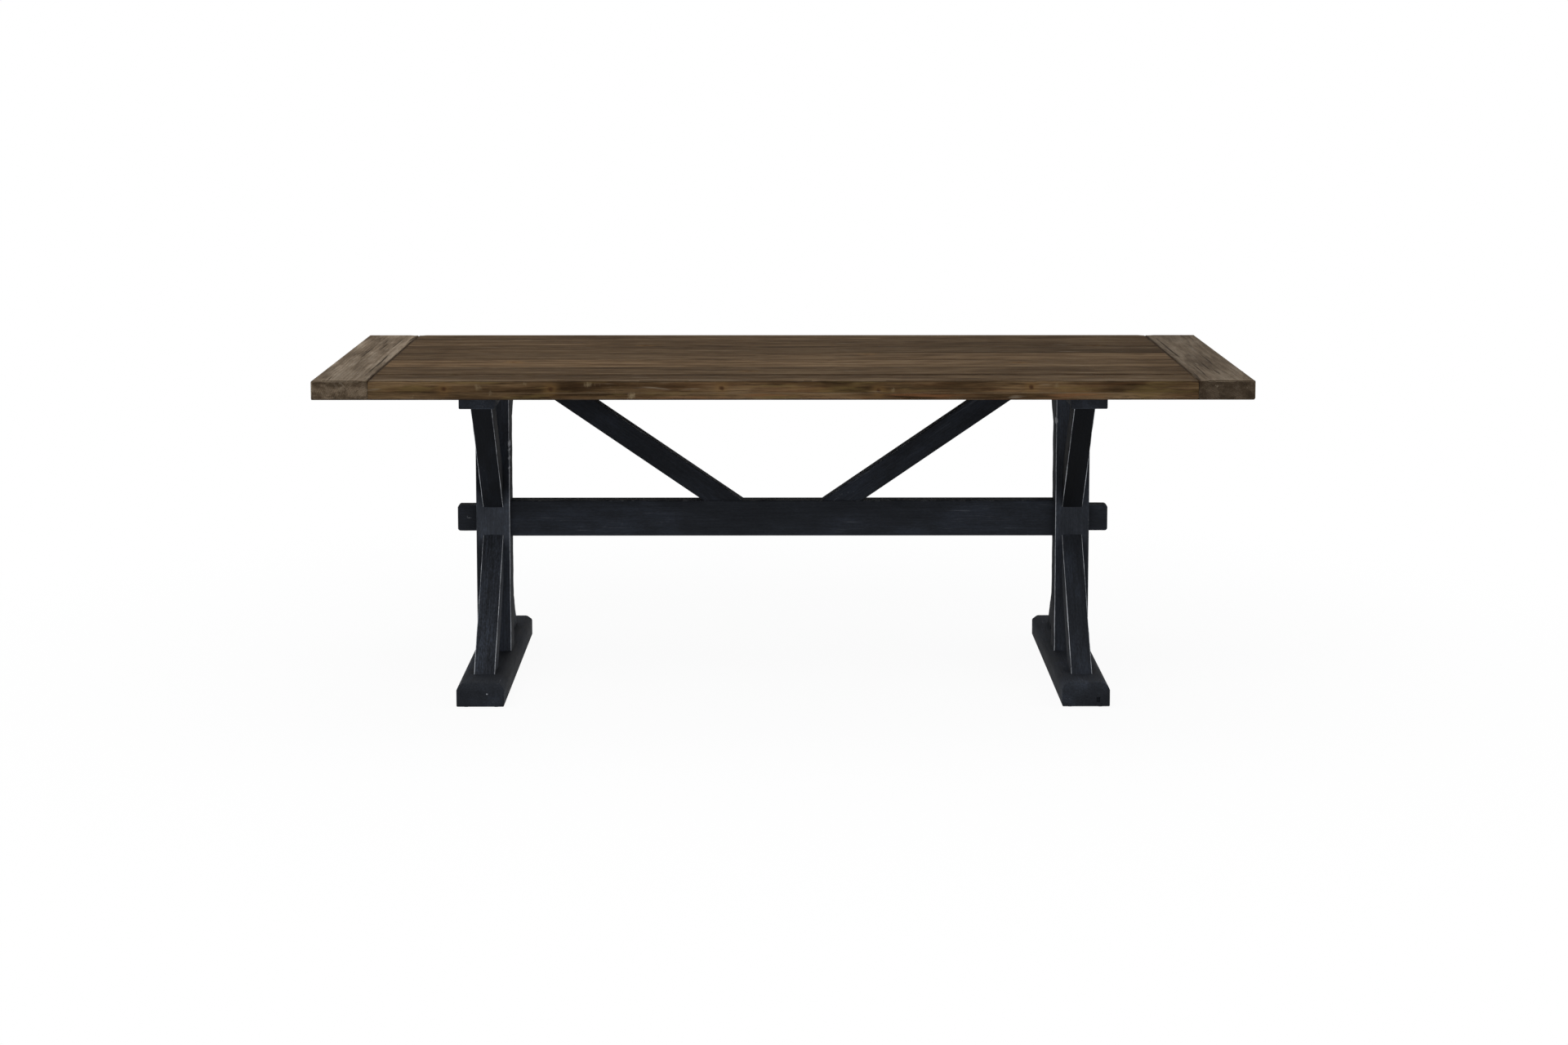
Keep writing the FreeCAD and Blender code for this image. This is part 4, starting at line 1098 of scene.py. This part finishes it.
front_low, front_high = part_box("front_edge_board")
front_high.y -= TONGUE
front_board = long_board("front_board", front_low, front_high, True, False, front_low.y)
rear_low, rear_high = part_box("rear_edge_board")
rear_board = long_board("rear_board", rear_low, rear_high, False, True, rear_high.y)
plank_low, plank_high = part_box("field_plank_1")
plank_high.y -= TONGUE
planks = {1: long_board("plank_1", plank_low, plank_high, True, True)}
for number in PLANKS[1:]:
    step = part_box(f"field_plank_{number}")[0].y - plank_low.y
    planks[number] = copy_of(planks[1], f"plank_{number}", move=(0, step, 0))
print("long boards:", front_board.name, rear_board.name, "and", len(planks), "planks of",
      len(planks[1].data.polygons), "faces")

# %% [markdown]
# ## Finishing the long boards
# The outer planks and the middle one are bored at both ends for the dowels of the end boards, so
# a row of plugs is taken out of them with Boolean modifiers. Then every board gets its grain, its
# worn arrises and its three finishes: face, long edge and end. The tones follow the photograph:
# each plank has one for its left end and one for its right, and the planks at the rear are darker.

# %% Finish the long boards
DOWEL_HOLE = 0.0053
DOWEL_DEPTH = 0.0163
DOWEL_PLANKS = (1, 3, 5)
FRONT_SEAM_NEAR = 0.002
FRONT_SEAM_SHY = -0.0035
CROSS_SEAM_SHY = -0.0020
LINE_SHY = 0.0006
TONE_PLACES = (-0.5, 0.5)
PLANK_TONES = {1: (0.42, 0.41), 2: (0.78, 0.50), 3: (0.40, 0.58), 4: (0.44, 0.29), 5: (0.49, 0.35)}
PLANK_SEEDS = {number: 1.3 + 2.17 * number for number in PLANKS}
FACE_TONE = 0.40
EDGE_TONE = 0.51
EDGE_SEEDS = {"front": 11.7, "rear": 18.3}
TOP_WEAR = (0.0022, 0.0025)


def top_arrises(low, high, outer):
    """The arrises of a top board that are worn: outer ones freely, board lines only faintly."""
    def shyness(middle, axis):
        if middle[2] < high[2] - HAIR:
            return 0.0 if outer(middle) and axis != "Z" else None
        if outer(middle):
            return 0.0
        if axis != "X":
            return CROSS_SEAM_SHY
        return FRONT_SEAM_SHY if abs(middle[1] - front_high.y) < FRONT_SEAM_NEAR else LINE_SHY
    return box_arrises(low, high, shyness)


for number, plank in planks.items():
    low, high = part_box(f"field_plank_{number}")
    high.y -= TONGUE
    middle = (low + high) / 2
    if number in DOWEL_PLANKS:
        for end in (low.x, high.x):
            bore(plank, (end, middle.y, TONGUE_LEVEL), DOWEL_HOLE, DOWEL_DEPTH, (0, QUARTER, 0))
    lay_grain(plank, middle, (1, 0, 0), (0, 0, 1))
    measure_arrises(plank, top_arrises(low, high, lambda middle: False))
    finish_by_face(plank, {"X": board_end, "Y": board_edge}, board_face)
    dress(plank, board_face, "table", f"field_plank_{number}", PLANK_SEEDS[number],
          tone_along(plank, "X", TONE_PLACES, PLANK_TONES[number]))

for piece, side, low, high, face_y in (
        (front_board, "front", front_low, front_high, front_low.y),
        (rear_board, "rear", rear_low, rear_high, rear_high.y)):
    lay_grain(piece, (low + high) / 2, (1, 0, 0), (0, 0, 1))
    measure_arrises(piece, top_arrises(low, high, lambda middle: abs(middle[1] - face_y) < HAIR))
    wear_down(piece, *TOP_WEAR)
    finish_by_face(piece, {"X": board_end, "Y": board_edge}, board_face)
    tone = np.where(abs(points_of(piece)[:, 1] - face_y) < OUTER_EASE, EDGE_TONE, FACE_TONE)
    dress(piece, board_face, "table", f"{side}_edge_board", EDGE_SEEDS[side], tone)
print("dressed", len(planks) + 2, "long boards")

# %% [markdown]
# ## The end boards
# A wide board lies across each end and pulls out. It has the thickness of the edge boards, eased
# arrises all round, and two housings below for its runners. It is modelled once, at the right, as
# a block with a bevel on its outer arrises, and copied to the left with a half turn, as a joiner
# makes a pair. The housings are pockets sawn out with a Boolean. Its grain runs across the table,
# so its long ends at the front show end grain.

# %% End boards
SEAM_DEPTH = 0.003
SEAM_LIP = 0.0016
BEYOND_LIP = 0.002
CORNER_ROUND = 0.005
ROOM = 0.0003
OVERRUN = 0.01
RUNNERS = [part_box(f"right_{side}_runner") for side in ("front", "rear")]
END_LOOKS = {"right": (31.4, (0.53, 0.51), 0.37, 0.32), "left": (27.9, (0.58, 0.90), 0.64, 0.45)}
end_low, end_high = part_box("right_end_board")


def is_outer_arris(middle, way):
    """Arrises where two of the end board's outer, long, upper and lower faces meet."""
    on_faces = (abs(middle.x - end_high.x), abs(abs(middle.y) - end_high.y),
                min(abs(middle.z - end_low.z), abs(middle.z - end_high.z)))
    return middle.x > end_low.x + BEYOND_LIP and sum(away < HAIR for away in on_faces) == 2


end_board = add_block("right_cross_board", end_low, end_high)
open_mesh(end_board)
slice_at((0, 0, end_high.z - SEAM_DEPTH), (0, 0, 1))
pick("FACE", lambda m, w: w.x < -0.9 and m.z < end_high.z - SEAM_DEPTH)
bpy.ops.transform.translate(value=(-SEAM_LIP, 0, 0))
ease(lambda m, w: abs(m.x - end_low.x) < HAIR and m.z > end_high.z - HAIR, LINE_EASE, 2)
ease(lambda m, w: along(w, "Z") and m.x > end_high.x - HAIR, CORNER_ROUND, 4)
ease(is_outer_arris, OUTER_EASE, 4)
divide(Y=CELL, X=WIDE_CELL)
close_mesh()
for low, high in RUNNERS:
    cut_away(end_board, (end_low.x - OVERRUN, low.y - ROOM, end_low.z - OVERRUN),
             (high.x + ROOM, high.y + ROOM, high.z + ROOM))
lay_grain(end_board, (end_low + end_high) / 2, (0, 1, 0), (0, 0, 1))
measure_arrises(end_board, top_arrises(end_low, end_high,
                                       lambda middle: middle[0] > end_low.x + HAIR))
end_boards = {"right": end_board, "left": copy_of(end_board, "left_cross_board", half_turn=True)}
for side, piece in end_boards.items():
    seed, tones, end_tone, contrast = END_LOOKS[side]
    wear_down(piece, *TOP_WEAR)
    finish_by_face(piece, {"Y": board_end, "X": board_edge}, cross_face)
    at_end = end_high.y - abs(points_of(piece)[:, 1]) < OUTER_EASE
    tone = np.where(at_end, end_tone, tone_along(piece, "Y", TONE_PLACES, tones))
    dress(piece, cross_face, f"{side}_end", f"{side}_end_board", seed, tone, contrast)
print("end boards:", [piece.name for piece in end_boards.values()])

# %% [markdown]
# ## The feet
# Each trestle stands on a sled foot, a heavy beam with a wide bevel planed round its upper side
# so that shoes and brooms slide off it. The bevel is one flat cut, so the four upper edges are
# bevelled in a single segment first, and all the arrises are then rounded a little. The wear runs
# along the bevel's upper and lower lines. The right foot also has a shallow hole for a peg.

# %% Feet
FOOT_BEVEL = 0.012
SOFT_EASE = 0.0024
SHARP = math.radians(25)
FINE_CELL = 0.012
PEG_LOW = (0.7248, 0.0150)
PEG_HIGH = (0.7332, 0.0270)
PEG_DEPTH = 0.005
LOWER_SHY = 0.0016
CROWN_SHY = 0.0015
FOOT_WEAR = (0.0016, 0.0026)
FOOT_PLACES = (-0.415, -0.405, -0.395, -0.36, -0.29, -0.18, -0.06, 0.06, 0.18, 0.29, 0.415)
FOOT_TONES = (0.60, 0.78, 0.92, 0.74, 0.50, 0.66, 0.46, 0.52, 0.68, 0.54, 0.62)
FOOT_CONTRAST = 0.25
FOOT_SEEDS = {"right": 3.1, "left": 5.3}
foot_low, foot_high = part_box("right_foot")


def foot_arrises(low, high):
    """Upper and lower line of the bevel round a foot's upper side, and its corners."""
    bevel = Vector((FOOT_BEVEL, FOOT_BEVEL, 0))
    bevel_high = (high.x, high.y, high.z - FOOT_BEVEL)
    crown_low = (low.x + bevel.x, low.y + bevel.y, high.z)
    lower = box_arrises(low, bevel_high, lambda m, axis: LOWER_SHY if axis == "Z"
                        or m[2] > low.z + OVERRUN else None)
    return lower + box_arrises(crown_low, high - bevel,
                               lambda m, axis: CROWN_SHY if axis != "Z" else None)


right_foot = add_block("right_sled", foot_low, foot_high)
open_mesh(right_foot)
ease(lambda m, w: m.z > foot_high.z - HAIR, FOOT_BEVEL, 1)
bpy.ops.mesh.select_all(action="DESELECT")
bpy.ops.mesh.edges_select_sharp(sharpness=SHARP)
bpy.ops.mesh.bevel(offset=SOFT_EASE, segments=2, affect="EDGES")
divide(Y=FINE_CELL, X=FINE_CELL, Z=FINE_CELL)
close_mesh()
feet = {"right": right_foot, "left": copy_of(right_foot, "left_sled", half_turn=True)}
cut_away(right_foot, (PEG_LOW[0], foot_low.y - OVERRUN, PEG_LOW[1]),
         (PEG_HIGH[0], foot_low.y + PEG_DEPTH, PEG_HIGH[1]))
for side, piece in feet.items():
    low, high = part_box(f"{side}_foot")
    lay_grain(piece, (low + high) / 2, (0, 1, 0), (0, 0, 1))
    measure_arrises(piece, foot_arrises(low, high))
    wear_down(piece, *FOOT_WEAR)
    paint(piece, f"{side}_foot", FOOT_SEEDS[side],
          tone_along(piece, "Y", FOOT_PLACES, FOOT_TONES), FOOT_CONTRAST)
print("feet:", [piece.name for piece in feet.values()])

# %% [markdown]
# ## The posts
# One stout post stands in the middle of each foot and carries the cleat. The solid has stub tenons
# that vanish into foot and cleat, so only the shaft between them is modelled here. Its four long
# arrises are rounded, and the mortise for the stretcher's tenon is sawn right through. The inner
# arrises are rubbed nearly white, because that is where chair backs and hands pass.

# %% Posts
POST_EASE = 0.002
MORTISE_HALF = (0.0192, 0.0322)
INNER_SHY = -0.0002
OUTER_SHY = 0.0009
POST_WEAR = (0.0012, 0.0022)
# Painted light on the posts: inner side faces are painted darker as shade, and the tones by height
# are lighter where the front is lit between the braces, darker where the braces shadow it.
INNER_PAINTED_SHADE = 0.5
POST_LIGHT_LEVELS = (0.06, 0.31, 0.345, 0.425, 0.46, 0.56, 0.68)
POST_PAINTED_LIGHT_LOOKS = {"right": (7.7, (0.70, 0.75, 1.05, 1.05, 0.75, 1.10, 1.50)),
              "left": (9.2, (0.75, 0.75, 1.55, 1.55, 0.40, 0.60, 1.35))}
POST_CONTRAST = 0.25
cleat_low, cleat_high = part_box("right_cleat")
stretcher_low, stretcher_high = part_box("stretcher")
stretcher_level = (stretcher_low.z + stretcher_high.z) / 2
post_low, post_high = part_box("right_post")
post_low.z, post_high.z = foot_high.z, cleat_low.z
post_middle = (post_low + post_high) / 2


def post_shyness(middle, axis):
    if axis != "Z":
        return None
    return INNER_SHY if middle[0] < post_middle.x else OUTER_SHY


right_post = add_block("right_upright", post_low, post_high)
open_mesh(right_post)
ease(lambda m, w: along(w, "Z"), POST_EASE, 3)
divide(Z=FINE_CELL, X=WIDE_CELL, Y=WIDE_CELL)
close_mesh()
half_width, half_height = MORTISE_HALF
cut_away(right_post, (post_low.x - OVERRUN, -half_width, stretcher_level - half_height),
         (post_high.x + OVERRUN, half_width, stretcher_level + half_height))
lay_grain(right_post, post_middle, (0, 0, 1), (0, -1, 0))
measure_arrises(right_post, box_arrises(post_low, post_high, post_shyness))
posts = {"right": right_post, "left": copy_of(right_post, "left_upright", half_turn=True)}
for side, piece in posts.items():
    seed, tones = POST_PAINTED_LIGHT_LOOKS[side]
    wear_down(piece, *POST_WEAR)
    inner = abs(points_of(piece)[:, 0]) < post_low.x + POST_EASE / 2
    # Painted light and shade: tone by height, halved on the inner side faces as painted shade.
    tone = tone_along(piece, "Z", POST_LIGHT_LEVELS, tones) * np.where(inner, INNER_PAINTED_SHADE, 1.0)
    paint(piece, f"{side}_post", seed, tone, POST_CONTRAST)
print("posts:", [piece.name for piece in posts.values()])

# %% [markdown]
# ## The cleats
# A cleat lies across each post under the top. Its middle rises between the edge boards to meet the
# thinner planks, so it is a low block whose middle is extruded upwards. Two windows let the runners
# through, and they are sawn out as the mortises were. Four screws hold the top down. Their heads
# lie deep in holes bored from below, so that short screws reach, and they can be seen from there.

# %% Cleats
BEARING_HALF = 0.3755
CLEAT_RISE = 0.015
SCREW_LINES = (-0.398, -0.1504, 0.1504, 0.398)
HEAD_HOLE = 0.0058
HEAD_SEAT = 0.720
CLEAT_SHY = 0.0014
CLEAT_WEAR = (0.0012, 0.0030)
# The cleat's tone is raised as painted light on its front, which lies in the top's shadow.
CLEAT_PAINTED_LIGHT_LOOK = (0.90, 0.2)
CLEAT_SEEDS = {"right": 11.9, "left": 13.6}
cleat_middle = (cleat_low + cleat_high) / 2
right_cleat = add_block("right_bearer", cleat_low, (cleat_high.x, cleat_high.y, front_low.z))
open_mesh(right_cleat)
ease(lambda m, w: m.z < cleat_low.z + HAIR or along(w, "Z"), POST_EASE, 2)
for y in (-BEARING_HALF, BEARING_HALF):
    slice_at((0, y, 0), (0, 1, 0))
pick("FACE", lambda m, w: w.z > 0.9 and abs(m.y) < BEARING_HALF)
extrude(0, 0, cleat_high.z - front_low.z)
divide(Y=WIDE_CELL, X=WIDE_CELL, Z=CLEAT_RISE)
close_mesh()
for low, high in RUNNERS:
    cut_away(right_cleat, (cleat_low.x - OVERRUN, low.y - ROOM, low.z - ROOM),
             (cleat_high.x + OVERRUN, high.y + ROOM, cleat_high.z + OVERRUN))
for y in SCREW_LINES:
    bore(right_cleat, (cleat_middle.x, y, cleat_low.z), HEAD_HOLE, HEAD_SEAT - cleat_low.z)
lay_grain(right_cleat, cleat_middle, (0, 1, 0), (0, 0, 1))
measure_arrises(right_cleat, box_arrises(
    cleat_low, cleat_high, lambda m, axis: CLEAT_SHY if m[2] < cleat_low.z + OVERRUN else None))
cleats = {"right": right_cleat, "left": copy_of(right_cleat, "left_bearer", half_turn=True)}
for side, piece in cleats.items():
    wear_down(piece, *CLEAT_WEAR)
    paint(piece, f"{side}_cleat", CLEAT_SEEDS[side], *CLEAT_PAINTED_LIGHT_LOOK)
print("cleats:", [piece.name for piece in cleats.values()])

# %% [markdown]
# ## The knee braces
# Four straight braces on each trestle make its X. A joiner cuts one from a square bar by sawing
# both ends to the slope, and so does this step: a long bar is laid on the slope, and two planes
# bisect it flush with the post and with the cleat or foot. Bisecting the turned bar is surer than
# working out its end angles, and the cut faces come out exactly flat.

# %% Sloped bars
BAR_CELL = 0.017
SPARE = 0.15


def sloped_bar(name, start, end, side, depth):
    """Square bar whose edge runs from start to end, with its depth on one side of that edge.
    Gives the bar, its middle and the ways along it and through its depth."""
    start, end = Vector(start), Vector(end)
    run = end - start
    half = Vector((run.length / 2 + SPARE, side.length / 2, depth / 2))
    bar = add_block(name, -half, half)
    open_mesh(bar)
    ease(lambda m, w: along(w, "X"), POST_EASE, 3)
    divide(X=FINE_CELL, Y=BAR_CELL, Z=BAR_CELL)
    close_mesh()
    x_way, y_way = run.normalized(), side.normalized()
    z_way = x_way.cross(y_way)
    middle = (start + end) / 2 + z_way * depth / 2
    turn = Matrix((x_way, y_way, z_way)).transposed().to_4x4()
    bar.matrix_world = Matrix.Translation(middle) @ turn
    settle()
    return bar, middle, x_way, z_way


def saw_off(place, way):
    """Cut the whole open mesh at a plane, drop what the way points to, and close the cut."""
    bpy.ops.mesh.select_all(action="SELECT")
    bpy.ops.mesh.bisect(plane_co=place, plane_no=way, clear_outer=True, use_fill=True)


def bar_arrises(bar, width, depth, length, shyness):
    """The four long arrises of a sloped bar. shyness maps (side, face) signs to lengths."""
    _, middle, x_way, z_way = bar
    y_way = z_way.cross(x_way)
    found = []
    for (side, face), shy in shyness.items():
        line = middle + y_way * side * width / 2 + z_way * face * depth / 2
        found.append((line - x_way * length / 2, line + x_way * length / 2, shy))
    return found


print("sloped bars ready")

# %% Knee braces
BRACE_DEPTH = 0.062


def knee_brace(level):
    """Front brace of the right trestle, from the post up to the cleat or down to the foot."""
    low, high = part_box(f"right_front_{level}_brace")
    x = (low.x + high.x) / 2
    inner, outer = (low.z, high.z) if level == "upper" else (high.z, low.z)
    ends = [(x, high.y, inner), (x, low.y, outer)]
    if level == "lower":
        ends.reverse()
    made = sloped_bar(f"right_front_{level}_knee", *ends, Vector((high.x - low.x, 0, 0)),
                      BRACE_DEPTH)
    bar, middle, x_way, z_way = made
    open_mesh(bar)
    saw_off((x, high.y, 0), (0, 1, 0))
    saw_off((x, 0, outer), (0, 0, math.copysign(1, outer - inner)))
    close_mesh()
    lay_grain(bar, middle, x_way, z_way)
    return made


braces = {level: knee_brace(level) for level in ("upper", "lower")}
print("knee braces:", [made[0].name for made in braces.values()])

# %% [markdown]
# ## Copying the braces
# The four braces of a level are one shape, so the finished one is copied to its other three
# places: half turned about the table's middle for the rear left, and slid along for the rest. Each
# copy is then worn and painted on its own, so no two have the same rubbed lines. The arrises that
# face the knees of people who sit at the table are rubbed hardest.

# %% Copy and finish the braces
BRACE_WIDTH = 0.05
BRACE_REACH = 0.6
BRACE_SHY = {"upper": {(-1, -1): 0.0, (1, -1): 0.0001, (-1, 1): 0.0010, (1, 1): 0.0010},
             "lower": {(-1, -1): 0.0, (1, -1): 0.0, (-1, 1): 0.0010, (1, 1): 0.0010}}
# The upper braces' low tones are painted shade under the top and the lower braces' high tones are
# painted light, over the paint's own tone.
BRACE_PAINTED_LIGHT_LOOKS = {"upper": {"left": (0.30, 0.12), "right": (0.20, 0.15)},
               "lower": {"left": (0.80, 0.60), "right": (0.62, 0.30)}}
BRACE_SEEDS = {"upper": 21.9, "lower": 20.0}
SEED_STEP = 3.7

for level, made in braces.items():
    front_right = made[0]
    measure_arrises(front_right, bar_arrises(made, BRACE_WIDTH, BRACE_DEPTH, BRACE_REACH,
                                             BRACE_SHY[level]))
    left_x, right_x = (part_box(f"{side}_front_{level}_brace")[0].x for side in ("left", "right"))
    slide = (left_x - right_x, 0, 0)
    rear_left = copy_of(front_right, f"left_rear_{level}_knee", half_turn=True)
    rear_right = copy_of(rear_left, f"right_rear_{level}_knee", move=(-slide[0], 0, 0))
    front_left = copy_of(front_right, f"left_front_{level}_knee", move=slide)
    for count, (piece, side, end) in enumerate((
            (front_right, "right", "front"), (front_left, "left", "front"),
            (rear_right, "right", "rear"), (rear_left, "left", "rear"))):
        wear_down(piece, *POST_WEAR)
        paint(piece, f"{side}_{end}_{level}_brace", BRACE_SEEDS[level] + SEED_STEP * count,
              *BRACE_PAINTED_LIGHT_LOOKS[level][side])
print("painted the", list(braces), "braces of both trestles")

# %% [markdown]
# ## The stretcher
# The stretcher ties the trestles, and its tenons come out through the posts with rounded tips. It
# is a block whose end faces are extruded in place, drawn in to the tenon's section, and extruded
# again to the tenon's length, which leaves the square shoulders that meet the posts.

# %% Stretcher
TENON = (0.038, 0.064)
TENON_ROUND = 0.007
TENON_EASE = 0.001
TENON_CELLS = 8
RAIL_CELLS = {"X": 0.014, "Y": 0.025, "Z": 0.022}
UPPER_RAIL_SHY = 0.0009
LOWER_RAIL_SHY = 0.0013
TENON_SHY = 0.0012
RAIL_WEAR = (0.0010, 0.0026)
RAIL_SEED = 41.3
RAIL_LOOK = (0.72, 0.16)
shoulder = post_low.x
tenon_length = stretcher_high.x - shoulder
rail_low = (-shoulder, stretcher_low.y, stretcher_low.z)
rail_high = (shoulder, stretcher_high.y, stretcher_high.z)
section = (stretcher_high.y - stretcher_low.y, stretcher_high.z - stretcher_low.z)
rail = add_block("tie_rail", rail_low, rail_high)
open_mesh(rail)
for side in (-1, 1):
    pick("FACE", lambda m, w: w.x * side > 0.9 and abs(m.x) > shoulder - HAIR)
    extrude(0, 0, 0)
    bpy.ops.transform.resize(value=(1, TENON[0] / section[0], TENON[1] / section[1]),
                             center_override=(side * shoulder, 0, stretcher_level))
    extrude(side * tenon_length, 0, 0)
ease(lambda m, w: abs(m.x) > stretcher_high.x - HAIR and along(w, "Y"), TENON_ROUND, 5)
ease(lambda m, w: along(w, "X") and abs(m.x) < HAIR, POST_EASE, 3)
ease(lambda m, w: along(w, "X") and abs(m.x) > shoulder, TENON_EASE, 2)
divide(**RAIL_CELLS)
for side in (-1, 1):
    for step in range(1, TENON_CELLS):
        slice_at((side * (shoulder + step * tenon_length / TENON_CELLS), 0, 0), (1, 0, 0))
close_mesh()
lay_grain(rail, (0, 0, stretcher_level), (1, 0, 0), (0, -1, 0))


def rail_shyness(middle, axis):
    if axis != "X":
        return None
    return UPPER_RAIL_SHY if middle[2] > stretcher_level else LOWER_RAIL_SHY


rail_arrises = box_arrises(rail_low, rail_high, rail_shyness)
for side in (-1, 1):
    near, far = sorted((side * shoulder, side * stretcher_high.x))
    rail_arrises += box_arrises((near, -TENON[0] / 2, stretcher_level - TENON[1] / 2),
                                (far, TENON[0] / 2, stretcher_level + TENON[1] / 2),
                                lambda m, axis: TENON_SHY if axis == "X" else None)
measure_arrises(rail, rail_arrises)
wear_down(rail, *RAIL_WEAR)
paint(rail, "stretcher", RAIL_SEED, *RAIL_LOOK)
print("stretcher:", rail.name, "tip to tip", round(2 * stretcher_high.x, 3))

# %% [markdown]
# ## The diagonal braces
# Two lighter braces run from the stretcher up to blocks under the top and stop the table racking
# along its length. They are sloped bars like the knee braces, sawn level at both ends.

# %% Diagonal braces
STRUT_DEPTH = 0.055
STRUT_REACH = 0.8
STRUT_SHY = {(-1, 1): 0.0008, (1, 1): 0.0008, (-1, -1): 0.0012, (1, -1): 0.0012}
STRUT_SEEDS = {"right": 47.1, "left": 52.6}
STRUT_LOOK = (0.60, 0.2)
low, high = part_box("right_diagonal_brace")
across = Vector((0, high.y - low.y, 0))
rise, reach = high.z - low.z, high.x - low.x
ratio = STRUT_DEPTH / rise
lean = math.sqrt(1 + (reach / rise) ** 2 - ratio ** 2)
run = (reach - STRUT_DEPTH * lean) / (1 - ratio ** 2)
made = sloped_bar("right_strut", (high.x - run, 0, low.z), (high.x, 0, high.z), across, STRUT_DEPTH)
right_strut, middle, x_way, _ = made
open_mesh(right_strut)
saw_off((0, 0, low.z), (0, 0, -1))
saw_off((0, 0, high.z), (0, 0, 1))
close_mesh()
lay_grain(right_strut, middle, x_way, (0, -1, 0))
measure_arrises(right_strut, bar_arrises(made, across.length, STRUT_DEPTH, STRUT_REACH, STRUT_SHY))
struts = {"right": right_strut, "left": copy_of(right_strut, "left_strut", half_turn=True)}
for side, piece in struts.items():
    wear_down(piece, *RAIL_WEAR)
    paint(piece, f"{side}_diagonal_brace", STRUT_SEEDS[side], *STRUT_LOOK)
print("diagonals:", [piece.name for piece in struts.values()])

# %% [markdown]
# ## Solids that stay
# Battens, blocks, runners, stops, dowels, screws and glides keep their solids. A finish goes into
# each one's material slot, chosen by what the piece is made of.

# %% Finishes on the kept solids
KEPT_FINISHES = {"end_batten": batten_wood, "centre_batten": batten_wood, "brace_block": block_wood,
                 "_runner": runner_wood, "runner_stop": runner_wood, "dowels": dowel_wood,
                 "screws": screw_steel, "glides": glide_plastic}
kept = 0
for name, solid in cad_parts.items():
    if solid.hide_render:
        continue
    for ending, finish in KEPT_FINISHES.items():
        if name.endswith(ending):
            solid.data.materials.clear()
            solid.data.materials.append(finish)
            kept += 1
print("kept solids with a finish:", kept)
